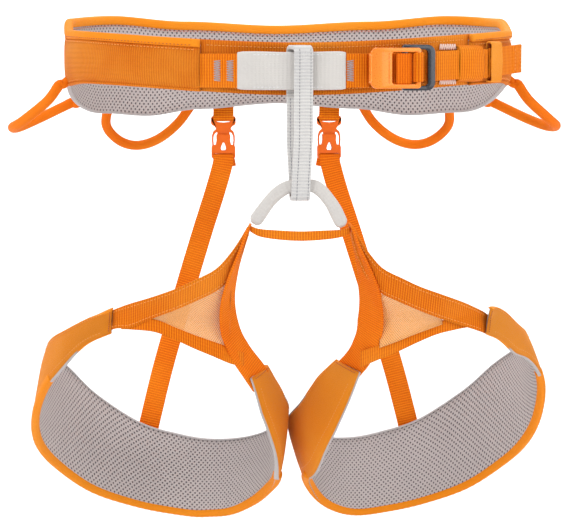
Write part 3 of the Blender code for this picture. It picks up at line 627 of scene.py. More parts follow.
def panel(name, mat, outer, inner, nu, nv, body, slot):
    """Closed panel between two surfaces, each a function of two fractions."""
    rings, us, mid = [], [], []
    for i in range(nu):
        f = i / (nu - 1)
        out = [outer(f, j / nv) for j in range(nv + 1)]
        inn = [inner(f, j / nv) for j in range(nv, -1, -1)]
        rings.append(out + inn)
        mid.append(out[nv // 2])
    us = lengths(mid)
    ring = rings[len(rings) // 2]
    vs = [0.0]
    for a, b in zip(ring, ring[1:] + ring[:1]):
        vs.append(vs[-1] + (b - a).length)
    return attach(sweep(name, rings, us, vs, mat), body, slot)


def stitches(name, mat, runs, body, pitch=2.6 * MM, run=1.8 * MM, radius=0.26 * MM,
             slot="orange_webbing"):
    """Rows of raised stitches; each run is (points, outward normals)."""
    verts, faces = [], []
    for points, normals in runs:
        total = lengths(points)
        count = int(total[-1] / pitch)
        j = 0
        for i in range(count):
            goal = (i + 0.5) * pitch
            while j < len(total) - 2 and total[j + 1] < goal:
                j += 1
            f = (goal - total[j]) / max(total[j + 1] - total[j], 1e-9)
            c = points[j].lerp(points[j + 1], f)
            t = (points[j + 1] - points[j]).normalized()
            nrm = normals[j].normalized()
            s = nrm.cross(t).normalized()
            base = len(verts)
            for along, r in ((-0.5, 0.0), (-0.34, 0.85), (0.0, 1.0), (0.34, 0.85), (0.5, 0.0)):
                if r == 0.0:
                    verts.append(c + t * along * run - nrm * radius * 0.6)
                    continue
                for k in range(6):
                    a = math.pi * 2 * k / 6
                    verts.append(c + t * along * run + s * math.cos(a) * radius * r
                                 + nrm * math.sin(a) * radius * r * 0.9)
            a0 = base + 1
            for k in range(6):
                m = (k + 1) % 6
                faces.append((base, a0 + m, a0 + k))
                faces.append((a0 + k, a0 + m, a0 + 6 + m, a0 + 6 + k))
                faces.append((a0 + 6 + k, a0 + 6 + m, a0 + 12 + m, a0 + 12 + k))
                faces.append((a0 + 12 + k, a0 + 12 + m, a0 + 18))
    uvs = [(0.0, 0.0)] * sum(len(f) for f in faces)
    return attach(add_object(name, verts, faces, uvs, mat), body, slot)


def bar_tack(name, mat, centre, along, across, length, width, body, lift=0.25 * MM,
             pitch=0.75 * MM):
    """A dense bar of threads laid across a narrow band."""
    along, across = Vector(along).normalized(), Vector(across).normalized()
    nrm = along.cross(across).normalized()
    verts, faces = [], []
    rows = max(3, int(length / pitch))
    for i in range(rows):
        c = Vector(centre) + along * ((i + 0.5) / rows - 0.5) * length
        tilt = along * pitch * 0.35 * (1 if i % 2 else -1)
        base, r = len(verts), pitch * 0.52
        half = width * 0.5 * (1.0 + 0.05 * math.sin(i * 2.3))
        for a, k in ((-1.0, 0.45), (-0.86, 0.9), (0.0, 1.0), (0.86, 0.9), (1.0, 0.45)):
            p = c + across * a * half + tilt * a + nrm * lift
            for q in range(6):
                g = 2 * math.pi * q / 6
                verts.append(p + along * math.cos(g) * r * k + nrm * math.sin(g) * r * k)
        for m in range(4):
            for q in range(6):
                w = (q + 1) % 6
                faces.append((base + m * 6 + q, base + m * 6 + w, base + m * 6 + 6 + w,
                              base + m * 6 + 6 + q))
        faces.append(tuple(base + q for q in range(5, -1, -1)))
        faces.append(tuple(base + 24 + q for q in range(6)))
    uvs = [(0.0, 0.0)] * sum(len(f) for f in faces)
    return attach(add_object(name, verts, faces, uvs, mat), body, "orange_webbing")


def rough_noise(p, scale, seed=0.0):
    """Soft unevenness of cloth, between about -1 and 1."""
    return noise.noise(Vector((p.x * scale + seed, p.y * scale - seed, p.z * scale + 3.1 * seed)))


def dome(v, power=3.0):
    """1 in the middle of a band and 0 at its edges."""
    return max(0.0, 1.0 - abs(2 * v - 1) ** power)


# =====================================================================================
# waist belt
# =====================================================================================
# the belt's shell runs from the left front round the back to the right front
S0, S1 = 0.1205, RING - 0.0655
# the top binding covers the upper ends of the shell and of the lining by these heights
SHELL_TUCK, LINING_TUCK = 4.6 * MM, 3.6 * MM


def belt_s(f):
    return S0 + (S1 - S0) * f


def end_pinch(f, width):
    """0 at the two ends of a band, 1 further in than width."""
    return min(1.0, min(f, 1 - f) / width) ** 0.5


def shell_out(f, v):
    s = belt_s(f)
    zb, zt = belt_bottom(s), belt_top(s) - SHELL_TUCK
    z = zb + (zt - zb) * v
    p = plan(s, 0, z)
    front = table([(0.0, 1.0), (0.165, 1.0), (0.205, 0.0)], fold(s))
    off = 2.6 * MM + 2.9 * MM * dome(v, 4.0) * (0.85 + 0.15 * end_pinch(f, 0.012))
    off += 0.35 * MM * rough_noise(p, 38.0, 1.7) * dome(v, 2.0)
    # soft horizontal wrinkles near both front ends
    wrinkled = math.exp(-((fold(s) - 0.150) / 0.030) ** 2)
    stretched = Vector((p.x * 0.35, p.y * 0.35, p.z * 2.6))
    off += 0.75 * MM * wrinkled * rough_noise(stretched, 60.0, 4.0) * dome(v)
    off += front * 0.3 * MM * math.exp(-((v - 0.5) / 0.2) ** 2)
    return plan(s, off, z)


def shell_in(f, v):
    s = belt_s(f)
    zb, zt = belt_bottom(s), belt_top(s) - SHELL_TUCK
    return plan(s, 1.45 * MM, zb + (zt - zb) * v)


shell = panel("belt_cover", M_SHELL, shell_out, shell_in, 260, 14, ROOT, "orange_shell")
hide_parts("belt_outer_shell")


def lining_in(f, v):
    s = belt_s(f)
    zb, zt = belt_bottom(s) + 0.2 * MM, belt_top(s) - LINING_TUCK
    z = zb + (zt - zb) * v
    p = plan(s, 0, z)
    off = 1.1 * MM - 1.9 * MM * dome(v, 3.0) + 0.3 * MM * rough_noise(p, 30.0, 9.0)
    return plan(s, off, z)


def lining_out(f, v):
    s = belt_s(f)
    zb, zt = belt_bottom(s) + 0.2 * MM, belt_top(s) - LINING_TUCK
    return plan(s, 1.40 * MM, zb + (zt - zb) * v)


lining = panel("belt_lining_mesh", M_MESH, lining_out, lining_in, 240, 10, ROOT, "grey_mesh")
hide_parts("belt_mesh_lining")


ROLL_POWER = 2.6


def rolled_edge(name, mat, stations, half_high, half_thick, body, slot, seg=16):
    """Rolled binding: a soft squared oval carried along (centre, up, out) stations."""
    rings = []
    for i, (c, up, out) in enumerate(stations):
        ring = []
        for k in range(seg):
            a = 2 * math.pi * k / seg
            ca, sa = math.cos(a), math.sin(a)
            x = math.copysign(abs(ca) ** (2 / ROLL_POWER), ca)
            y = math.copysign(abs(sa) ** (2 / ROLL_POWER), sa)
            ring.append(c + out * x * at(half_thick, i) + up * y * at(half_high, i))
        rings.append(ring)
    vs = [k / seg * 4.5 * at(half_high, 0) for k in range(seg + 1)]
    return attach(sweep(name, rings, lengths([s[0] for s in stations]), vs, mat), body, slot)


stations, highs, thicks = [], [], []
for i in range(300):
    s = belt_s(i / 299)
    _, n = plan_frame(s)
    front = table([(0.0, 1.0), (0.150, 1.0), (0.215, 0.0)], fold(s))
    z = belt_top(s) - (3.1 - 0.3 * front) * MM
    puck = 0.12 * MM * math.sin(i * 1.9) + 0.2 * MM * noise.noise(Vector((i * 0.11, 0, 5)))
    stations.append((plan(s, (2.3 + 1.3 * front) * MM + puck, z), Vector((0, 0, 1)), n))
    highs.append((3.35 - 0.5 * front) * MM)
    thicks.append((3.2 - 1.5 * front) * MM)
top_binding = rolled_edge("belt_top_roll", M_BINDING, stations, highs, thicks, ROOT, "orange_shell")
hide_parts("belt_top_binding")

for tag, sa, sb, mat in (("left", S0, 0.197, M_SHELL), ("rear", 0.195, RING - 0.195, M_PIPE),
                         ("right", RING - 0.197, S1, M_SHELL)):
    stations = []
    for i in range(120):
        s = sa + (sb - sa) * i / 119
        _, n = plan_frame(s)
        stations.append((plan(s, 2.4 * MM, belt_bottom(s) + 0.5 * MM), Vector((0, 0, 1)), n))
    rolled_edge("belt_bottom_roll_" + tag, mat, stations, 0.95 * MM,
                (1.5 if tag == "rear" else 2.0) * MM, ROOT,
                "grey_mesh" if tag == "rear" else "orange_shell", seg=10)


def along_belt(sa, sb, off, dz_top=None, dz_bottom=None, count=160):
    """Line of stitching a set distance below the belt's top or above its bottom."""
    pts, nrm = [], []
    for i in range(count):
        s = sa + (sb - sa) * i / (count - 1)
        z = belt_top(s) - dz_top if dz_top is not None else belt_bottom(s) + dz_bottom
        pts.append(plan(s, off, z))
        nrm.append(plan_frame(s)[1])
    return pts, nrm


stitches("belt_stitch_top", M_THREAD,
         [along_belt(S0 + 0.003, S1 - 0.003, 4.95 * MM, dz_top=7.2 * MM, count=260)], ROOT)
stitches("belt_stitch_bottom", M_THREAD,
         [along_belt(S0 + 0.003, S1 - 0.003, 3.9 * MM, dz_bottom=2.6 * MM, count=260)], ROOT)

line, inward = along_belt(0.205, RING - 0.205, -0.62 * MM, dz_top=7.2 * MM, count=240)
stitches("belt_stitch_inner", M_THREAD_D, [(line, [-v for v in inward])], ROOT, run=1.6 * MM)
line, nrm = along_belt(S0 + 0.003, S1 - 0.003, 5.35 * MM, dz_top=4.3 * MM, count=260)
stitches("belt_stitch_hem", M_THREAD_D, [(line, nrm)], ROOT, run=1.3 * MM)

# front tongue under the strap and buckle
TA, TB = -0.0670, 0.1225


def tongue_s(f):
    return TA + (TB - TA) * f


def tongue_hem(v):
    return max(math.exp(-((v - 0.06) / 0.05) ** 2), math.exp(-((v - 0.94) / 0.05) ** 2))


def tongue_out(f, v):
    s = tongue_s(f)
    zb, zt = belt_bottom(s), belt_top(s)
    z = zb + (zt - zb) * v
    k = max(0.0, min(1.0, (s - TA) / 0.003 - 0.6, (TB - s) / 0.003 - 0.6))
    return plan(s, 1.15 * MM + k * (0.4 + 0.5 * tongue_hem(v)) * MM, z)


def tongue_in(f, v):
    s = tongue_s(f)
    zb, zt = belt_bottom(s), belt_top(s)
    return plan(s, 0.3 * MM - 0.5 * MM * tongue_hem(v), zb + (zt - zb) * v)


tongue = panel("belt_tongue_panel", M_SHELL, tongue_out, tongue_in, 90, 16, ROOT, "orange_shell")
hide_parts("belt_front_tongue")
stitches("tongue_stitch", M_THREAD,
         [along_belt(TA + 0.005, TB - 0.005, 2.0 * MM, dz_top=3.6 * MM, count=80),
          along_belt(TA + 0.005, TB - 0.005, 2.0 * MM, dz_bottom=3.6 * MM, count=80)], ROOT)

# =====================================================================================
# tie-in strap and sleeve
# =====================================================================================
def strap_pts(sa, sb, count, extra=0.0):
    """Points of the tie-in strap's centre line between two arc lengths."""
    steps = [sa + (sb - sa) * i / (count - 1) for i in range(count)]
    return [plan(s, strap_offset(s) + extra) for s in steps]


pts = strap_pts(-0.0690, 0.0440, 60)
web = zstrap("waist_web", M_WEB, pts, STRAP_Z, 22.4 * MM, 1.6 * MM)
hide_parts("tie_in_webbing")

count = 44
pts = strap_pts(-0.0405, 0.0285, count)
high, zc, thick = [], [], []
for i in range(count):
    f = i / (count - 1)
    endr = min(1.0, min(f, 1 - f) / 0.04)
    high.append((24.0 + 0.9 * endr + 0.3 * math.sin(f * 9)) * MM)
    zc.append(STRAP_Z + 0.15 * MM * math.sin(f * 7 + 1))
    thick.append((3.3 + 0.9 * endr + 0.35 * math.sin(f * 17) * endr) * MM)
sleeve = zstrap("white_tie_sleeve", M_WHITE, pts, zc, high, thick, slot="white_webbing", crown=0.10)
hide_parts("tie_in_sleeve")
sleeve_runs = []
for dz in (10.6, -10.6):
    line = strap_pts(-0.0385, 0.0265, 40, 2.25 * MM)
    sleeve_runs.append(([Vector((p.x, p.y, STRAP_Z + dz * MM)) for p in line],
                        [Vector((t.y, -t.x, 0)) for t in tangents(line)]))
M_THREAD_W = thread("thread_white", (0.78, 0.78, 0.80), (0.55, 0.55, 0.6))
stitches("white_sleeve_stitch", M_THREAD_W, sleeve_runs, ROOT, slot="white_webbing",
         radius=0.2 * MM)

for label, s in (("a", -0.0540), ("b", -0.0455), ("c", 0.0318)):
    p = plan(s, strap_offset(s) + 0.85 * MM, STRAP_Z)
    q = plan(s + 0.001, strap_offset(s + 0.001) + 0.85 * MM, STRAP_Z)
    bar_tack("tie_tack_" + label, M_TACK, p, (0, 0, 1), (q - p), 13.5 * MM, 4.6 * MM, ROOT,
             lift=-0.05 * MM)

# =====================================================================================
# buckle
# =====================================================================================
def rounded(u0, u1, z0, z1, radii):
    """Rectangle with four corner radii."""
    pts, seg = [], 6
    spec = [(u0, z0, 1, 1, 180), (u1, z0, -1, 1, 270), (u1, z1, -1, -1, 0), (u0, z1, 1, -1, 90)]
    for (u, z, du, dz, start), r in zip(spec, radii):
        for k in range(seg):
            a = math.radians(start + 90 * k / (seg - 1))
            pts.append((u + du * r + r * math.cos(a), z + dz * r + r * math.sin(a)))
    return pts


BEVEL_FROM, SHARP_FROM = math.radians(35), math.radians(40)


def plate(name, mat, outline, holes, low, high, place, body, slot, bevel=0.5):
    """Flat plate with holes, extruded and bevelled."""
    bm = bmesh.new()
    edges = []
    for loop in [outline] + holes:
        vs = [bm.verts.new((u, z, low)) for u, z in loop]
        for i in range(len(vs)):
            edges.append(bm.edges.new((vs[i], vs[(i + 1) % len(vs)])))
    res = bmesh.ops.triangle_fill(bm, use_beauty=True, edges=edges)
    faces = [g for g in res["geom"] if isinstance(g, bmesh.types.BMFace)]
    ext = bmesh.ops.extrude_face_region(bm, geom=faces)
    for g in ext["geom"]:
        if isinstance(g, bmesh.types.BMVert):
            g.co.z = high
    bmesh.ops.recalc_face_normals(bm, faces=bm.faces)
    bmesh.ops.dissolve_limit(bm, angle_limit=0.01, verts=bm.verts, edges=bm.edges)
    sharp = [e for e in bm.edges if len(e.link_faces) == 2
             and e.calc_face_angle(0) > BEVEL_FROM]
    bmesh.ops.bevel(bm, geom=sharp, offset=bevel, segments=3, affect="EDGES", profile=0.6,
                    clamp_overlap=True)
    for v in bm.verts:
        u, z, n = v.co
        v.co = place(u, n, z)
    bmesh.ops.recalc_face_normals(bm, faces=bm.faces)
    mesh = bpy.data.meshes.new(name)
    bm.to_mesh(mesh)
    bm.free()
    mesh.uv_layers.new(name="UVMap")
    mesh.materials.append(mat)
    mesh.polygons.foreach_set("use_smooth", [True] * len(mesh.polygons))
    mesh.set_sharp_from_angle(angle=SHARP_FROM)
    return attach(link_object(name, mesh), body, slot)


base = plate("buckle_base", M_DARK,
             rounded(-1.0, 22.5, -14.8, 15.6, [2, 5.5, 5.5, 2]),
             [rounded(3.2, 17.2, -11.6, 12.4, [1, 2.4, 2.4, 1])], 0.9, 3.3, buckle_point, ROOT,
             "dark_aluminium", bevel=0.7)
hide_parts("buckle_base_frame")
adj = plate("buckle_adjuster", M_ALU,
            [(-24.5, -9.8), (-23.6, -11.2), (-22.4, -12.6), (-20.8, -13.2), (9.6, -13.2),
             (11.0, -12.2), (11.0, 12.6), (9.6, 13.6), (-20.8, 13.6), (-22.4, 13.0),
             (-23.6, 11.6), (-24.5, 10.2)],
            [rounded(-9.5, 8.0, -10.4, 10.8, [1.6, 1.2, 1.2, 1.6])], 4.4, 6.8, buckle_point,
            "buckle_adjuster", "orange_aluminium", bevel=0.6)
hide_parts("buckle_adjuster_frame")
# folded lip and one grip ridge on the adjuster's plate
lip = [buckle_point(-24.4, 5.9, z) for z in (-9.4, -6, 0, 6, 9.8)]
tube("adjuster_lip", M_ALU, smooth(lip, 16), 1.15 * MM, "buckle_adjuster")
ridge = [buckle_point(-11.4, 6.7, z) for z in (-9.5, -4, 1, 6, 10)]
tube("adjuster_ridge_0", M_ALU, smooth(ridge, 12), 0.55 * MM, "buckle_adjuster",
     seg=8)

fold_line = [(-23.5, 0.3), (-16, -0.1), (-8, -0.15), (-2, -0.15), (2.6, -0.1), (5.2, 1.2),
             (5.3, 3.2), (3.6, 4.9), (0.5, 5.25), (-6.0, 5.25)]
pts = smooth([buckle_point(u, n) for u, n in fold_line], 48)
anchor = zstrap("buckle_anchor_fold", M_WEB_DEEP, pts, STRAP_Z + 1.2 * MM, 20.4 * MM, 1.3 * MM)
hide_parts("buckle_anchor_webbing")


# under the belt's end, round the adjuster's bar and back out to the keepers
def along(s, off):
    return plan(s, off * MM)


left = [along(0.1320, 6.5), along(0.124, 6.4), along(0.1195, 6.2), along(0.112, 4.5),
        along(0.1055, 3.5), along(0.100, 3.4), buckle_point(22, -2.2), buckle_point(15, -2.2),
        buckle_point(9.5, -1.5), buckle_point(6.9, 2.4), buckle_point(6.75, 5.6)]
BAR_R = 2.75
arc = [buckle_point(9.5 + BAR_R * math.cos(math.radians(d)), 5.6 + BAR_R * math.sin(math.radians(d)))
       for d in (135, 90, 45, 0)]
right = [buckle_point(12.4, 2.6), buckle_point(13.6, 0.4), buckle_point(17, -0.45),
         buckle_point(22.5, -0.5), along(0.100, 5.0), along(0.1055, 5.1), along(0.112, 6.1),
         along(0.1185, 7.8), along(0.124, 8.0), along(0.1320, 8.1)]
pts = smooth(left + arc + right, 150)
zc = [(0.6 + 2.0 * clamp((p.x - 0.075) / 0.045)) * MM for p in pts]
adjust = zstrap("adjust_strap", M_WEB, pts, zc, 19.5 * MM, 1.25 * MM)
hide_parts("adjusting_strap")

# front keeper: an elastic band over the strap, with its two tacked tabs
def keeper(f, v, lift):
    s = 0.1088 + (0.0172 + 0.0022 * dome(v, 2.0)) * f
    top_off = table([(0.105, 6.6 * MM), (0.1200, 9.3 * MM)], s)
    low_off = table([(0.117, 2.3 * MM), (0.1205, 5.3 * MM)], s)
    z = -9.4 * MM + 24.6 * MM * v
    return plan(s, low_off + (top_off - low_off) * dome(v, 9.0) ** 0.5 - lift, z)


front_keeper = panel("keeper_front", M_WEB, lambda f, v: keeper(f, v, 0.0),
           lambda f, v: keeper(f, v, 0.9 * MM), 24, 24, ROOT, "orange_webbing")
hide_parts("strap_keeper_front")
for label, z in (("top", 14.0), ("bottom", -9.0)):
    p, q = plan(0.0950, 2.6 * MM, z * MM), plan(0.1082, 2.7 * MM, z * MM)
    _, n = plan_frame(0.1016)
    bar_tack("keeper_tack_" + label, M_TACK_P, (p + q) / 2 + n * 0.5 * MM, q - p, (0, 0, -1),
             13.2 * MM, 3.9 * MM, ROOT, lift=0.1 * MM, pitch=0.9 * MM)

# rear keeper: a wide elastic band round belt and strap
keeper_base = plan(0.1390, 0.0, 0.0)
keeper_along, keeper_out = plan_frame(0.1430)


def at_keeper(u, off, z):
    return keeper_base + keeper_along * (u * MM) + keeper_out * (off * MM) + Vector((0, 0, z * MM))


ring = [at_keeper(0, 5.9, -9.0), at_keeper(0, 9.7, -9.2), at_keeper(0, 10.0, -4), at_keeper(0, 10.15, 3.5),
        at_keeper(0, 10.0, 11), at_keeper(0, 9.7, 16.2), at_keeper(0, 5.9, 16.0), at_keeper(0, 5.7, 3.5)]
centres = smooth(ring + [ring[0]], 52)[:-1]
mid = sum(centres, Vector()) / len(centres)
wides, normals = [], []
for p in centres:
    d = p - mid
    normals.append((d - keeper_along * d.dot(keeper_along)).normalized())
    bow = 1.0 + 0.10 * math.cos((p.z - mid.z) / 0.013 * 1.4)
    wides.append(keeper_along * 13.6 * MM * bow)
rear_keeper = strap("keeper_rear", M_COVER, centres, wides, normals, 1.1 * MM, closed=True, body=ROOT,
           slot="orange_webbing")
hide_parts("strap_keeper_rear")

centres, wides, normals = [], [], []
for i in range(34):
    u = -6.5 + 42.0 * i / 33
    centres.append(at_keeper(u, 7.85, 3.6 + u * 0.06))
    wides.append(Vector((0, 0, 19.5 * MM)))
    normals.append(keeper_out)
thick = [1.5 * MM if i < 25 else 2.5 * MM for i in range(34)]
tail = strap("tail", M_WEB, centres, wides, normals, thick, body="strap_tail")
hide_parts("strap_tail")
stitches("tail_stitch", M_THREAD,
         [([at_keeper(26.5, 9.15, 3.6 + 1.6 + z) for z in range(-8, 9)], [keeper_out] * 17),
          ([at_keeper(33.5, 9.15, 3.6 + 2.0 + z) for z in range(-8, 9)], [keeper_out] * 17)], "strap_tail")

# =====================================================================================
# belay loop and bridge
# =====================================================================================
loop_y = plan(-0.0015, strap_offset(-0.0015)).y
TAPE_WIDE, TAPE_THICK, TAPE_FACE = 12.5 * MM, 2.7 * MM, 1.42 * MM
half, corner = 6.0 * MM, 3.6 * MM
top, bottom = 15.4 * MM - 1.4 * MM, -86.5 * MM + 1.4 * MM
path = []
for cy, cz, start in [(half - corner, top - corner, 0), (-half + corner, top - corner, 90),
                      (-half + corner, bottom + corner, 180), (half - corner, bottom + corner, 270)]:
    for k in range(9):
        a = math.radians(start + 90 * k / 8)
        path.append((cy + corner * math.cos(a), cz + corner * math.sin(a), math.cos(a), math.sin(a)))
    if start in (90, 270):
        sg = -1 if start == 90 else 1
        lo, hi = bottom + corner, top - corner
        for k in range(1, 40):
            z = hi + (lo - hi) * k / 40 if sg < 0 else lo + (hi - lo) * k / 40
            bow = 0.35 * MM * math.sin(math.pi * k / 40)
            path.append((sg * (half - bow), z, float(sg), 0.0))
centres, wides, normals = [], [], []
for y, z, ny, nz in path:
    # the two runs lie side by side at the top and come together towards the bottom
    g = clamp((z - bottom) / (45 * MM))
    x = -1.2 * MM - 2.2 * MM * y / half * (0.12 + 0.88 * ease(g))
    centres.append(Vector((x, loop_y + y, z)))
    normals.append(Vector((0, ny, nz)))
    wides.append(Vector((TAPE_WIDE, 0, 0)))
loop = strap("belay_tape", M_LOOP, centres, wides, normals, TAPE_THICK, closed=True,
             body="belay_loop", slot="white_webbing", crown=0.06, edge=0.05)
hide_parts("belay_loop")
runs = []
for dx in (-2.6, 4.7):
    line, outward = [], []
    for c, nn in zip(centres, normals):
        if nn.y < -0.05 and c.z < 12.5 * MM:
            line.append(c + Vector((dx * MM, 0, 0)) + nn * TAPE_FACE)
            outward.append(nn)
    runs.append((line, outward))
line, outward = [], []
for c, nn in zip(centres, normals):
    if nn.y > 0.5 and c.z < -15 * MM:
        line.append(c + Vector((-3.8 * MM, 0, 0)) - nn * TAPE_FACE)
        outward.append(-nn)
runs.append((line, outward))
stitches("belay_stitch", M_THREAD_G, runs, "belay_loop", pitch=2.15 * MM, run=1.9 * MM,
         radius=0.20 * MM, slot="white_webbing")

# the bridge's sleeve: from one leg loop, over the bottom of the belay loop, to the other
ctrl = [Vector(v) * MM for v in
        ((-31.0, -113.0, -102.2), (-19.3, -117.5, -85.7), (-9.5, -122.8, -77.8),
         (-1.2, loop_y * 1000, -77.2), (9.6, -122.8, -77.6), (20.0, -117.5, -88.5),
         (28.4, -113.0, -104.4))]
pts = smooth(ctrl, 56)
rings, seg = [], 20
for i, (p, t) in enumerate(zip(pts, tangents(pts))):
    across = Vector((0, 1, 0)).cross(t).normalized()
    deep = t.cross(across)
    f = i / 55
    w = (8.4 + 0.28 * math.sin(f * 23) + 0.6 * abs(2 * f - 1)) * 0.5 * MM
    d = (5.4 - 1.6 * abs(2 * f - 1) ** 3) * 0.5 * MM
    tip = max(0.0, 1.0 - min(f, 1 - f) / 0.045)
    w *= math.sqrt(1.0 - 0.80 * tip ** 2)
    d *= math.sqrt(1.0 - 0.80 * tip ** 2)
    ring = []
    for k in range(seg):
        a = 2 * math.pi * k / seg
        ca, sa = math.cos(a), math.sin(a)
        crease = 1 - 0.10 * math.exp(-((a - math.pi * 1.5) / 0.35) ** 2)
        ring.append(p + across * math.copysign(abs(ca) ** 0.8, ca) * w
                    + deep * math.copysign(abs(sa) ** 0.8, sa) * d * crease)
    rings.append(ring)
vs = [k / seg * 0.022 for k in range(seg + 1)]
bridge = sweep("bridge_sleeve", rings, lengths(pts), vs, M_WHITE)
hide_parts("leg_bridge_sleeve")
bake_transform(bridge)

ctrl = [(x * MM, y * MM, z * MM) for x, y, z in
        ((-33, -112.5, -105.6), (-27, -114, -108.2), (-15, -116, -109.6), (0, -117, -110.4),
         (15, -116, -109.9), (27, -114, -108.9), (33, -112.5, -106.8))]
pts = smooth(ctrl, 40)
wides = [Vector((0, 0, (6.4 - 2.6 * abs(i / 19.5 - 1) ** 3) * MM)) for i in range(40)]
cross = strap("cross_strap", M_WEB, pts, wides, [Vector((t.y, -t.x, 0)) for t in tangents(pts)],
              2.2 * MM, body=ROOT)
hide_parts("leg_cross_strap")

# =====================================================================================
# leg loops
# =====================================================================================
# How each worn-in pad departs from its pattern: rows of fraction along the pad, then how far the
# lower edge moves outward and up, then the same for the upper edge, in millimetres.
PAD_SET = {
    -1: [(0.0, 0, 2.6, 4.6, 0), (0.056, 0, 1.0, 1.0, 0.6), (0.111, 0, 0, 0, 2.4),
         (0.167, 0, 0, 0, 1.0), (0.22, 0, 0, 0, 0), (0.56, 0, 0, 0, 0), (0.611, 0, -3.0, 0, 0),
         (0.667, 0.3, -6.3, 0, 0), (0.722, 1.4, -4.4, 0, 0), (0.778, 4.2, -1.0, -1.2, 0),
         (0.82, 4.4, 0, -2.8, 0), (0.861, 1.2, 0, -1.4, 0), (0.917, 0.2, 0, 0, 0),
         (0.944, -0.5, 0, 0, 0), (1.0, -6.0, 2.2, 0, 2.2)],
    1: [(0.0, 5.3, 0, 12.4, -1.0), (0.028, 3.0, 0.5, 5.0, 3.5), (0.056, 1.5, 0.5, 2.0, 5.0),
        (0.083, 1.0, 1.5, 0.5, 5.5), (0.111, 3.0, 6.5, 0, 5.0), (0.139, 5.0, 7.4, 0, 4.0),
        (0.194, 5.5, 7.2, 1.0, 2.0), (0.25, 2.5, 3.5, 0.5, 0), (0.31, 0, 0, 0, 0),
        (0.63, 0, 0, 0, 0), (0.694, 6.0, 0, -1.5, 0), (0.75, 10.5, 0, -2.4, 0),
        (0.806, 12.0, 0, -0.8, 0), (0.889, 12.7, 0, 0, 0), (0.944, 8.6, 0, 0, 0),
        (1.0, 3.0, 5.7, 6.5, 5.4)]}


def curve(rows, column, x):
    """Smooth curve through unevenly spaced rows, of one column against the first."""
    k = max(i for i in range(len(rows) - 1) if i == 0 or rows[i][0] <= x)

    def slope(i):
        a, b = rows[max(i - 1, 0)], rows[min(i + 1, len(rows) - 1)]
        return (b[column] - a[column]) / (b[0] - a[0])

    (xa, ya), (xb, yb) = ((rows[i][0], rows[i][column]) for i in (k, k + 1))
    h = xb - xa
    t = (x - xa) / h
    return (ya * (1 + 2 * t) * (1 - t) ** 2 + slope(k) * h * t * (1 - t) ** 2
            + yb * t * t * (3 - 2 * t) + slope(k + 1) * h * t * t * (t - 1))


def strip(sign, f, v, depth):
    """Point on a pad; f runs along it and v from its lower edge to its upper one."""
    at, zt, ab, zb = spline(PAD_EDGES, f)
    out_b, up_b, out_t, up_t = (curve(PAD_SET[sign], k, f) * MM for k in (1, 2, 3, 4))
    p = leg_point(sign, ab + (at - ab) * v, zb + (zt - zb) * v, depth)
    p.x += sign * (out_b + (out_t - out_b) * v)
    p.z += up_b + (up_t - up_b) * v
    return p


def edge_frame(sign, f, v, toward, depth):
    """Point on a pad's edge, with the direction towards another row and the one out of the pad."""
    c = strip(sign, f, v, depth)
    across = (strip(sign, f, toward, depth) - c).normalized()
    step = 0.004
    run = (strip(sign, min(1.0, f + step), v, depth)
           - strip(sign, max(0.0, f - step), v, depth)).normalized()
    across = (across - run * across.dot(run)).normalized()
    return c, across, run.cross(across).normalized()


def web_rows(edges, count):
    return [tuple(spline(edges, i / (count - 1))) for i in range(count)]


# where each pad's cover ends over its webs, as a distance from the middle
COVER_END = {-1: 0.1255, 1: 0.1325}


def web_band(name, mat, sign, edges, depth, thick, body, slot="orange_webbing", count=40, nv=8):
    """Band of cloth on the front of a thigh, between rows of (x, top, bottom)."""
    rows = web_rows(edges, count)

    def surf(f, v, d):
        x, zt, zb = rows[min(int(round(f * (count - 1))), count - 1)]
        z = zb + (zt - zb) * v
        under = clamp((x - COVER_END[sign] + 0.003) / 0.004)
        return leg_point(sign, angle_of(x), z, d + 2.0 * MM * ease(under))

    def outer(f, v):
        hem = math.exp(-((v - 0.08) / 0.07) ** 2) + math.exp(-((v - 0.92) / 0.07) ** 2)
        return surf(f, v, depth - 0.25 * MM * hem)

    def inner(f, v):
        return surf(f, v, depth + thick)

    return panel(name, mat, outer, inner, count, nv, body, slot)


# rows of distance from the middle, top and bottom, for the upper web, the lower web and the net
UP = [(0.0340, -0.1040, -0.1100), (0.0365, -0.1085, -0.1190), (0.0400, -0.1145, -0.1290),
      (0.0460, -0.1232, -0.1410), (0.0553, -0.1332, -0.1515), (0.0687, -0.1400, -0.1580),
      (0.0820, -0.1462, -0.1640), (0.0988, -0.1524, -0.1708), (0.1120, -0.1575, -0.1745),
      (0.1215, -0.1618, -0.1775), (0.1300, -0.1660, -0.1805), (0.1400, -0.1710, -0.1840)]
LOW = [(0.1190, -0.1690, -0.1765), (0.1110, -0.1705, -0.1777), (0.0960, -0.1725, -0.1812),
       (0.0820, -0.1783, -0.1868), (0.0687, -0.1838, -0.1932), (0.0553, -0.1890, -0.1992),
       (0.0430, -0.1940, -0.2050), (0.0340, -0.1985, -0.2075)]
NET = [(0.0440, -0.1390, -0.1970), (0.0553, -0.1490, -0.1915), (0.0687, -0.1560, -0.1860),
       (0.0820, -0.1620, -0.1805), (0.0990, -0.1690, -0.1745)]
NET_START_LEFT = (0.0563, -0.1494, -0.1910)
# how far each side's webs lie from those rows
LOW_RISE = {-1: 4.2 * MM, 1: 1.0 * MM}
NET_TOP_RISE = {-1: 1.5 * MM, 1: 0.0}
UP_RISE = {-1: 2.4 * MM, 1: 0.8 * MM}
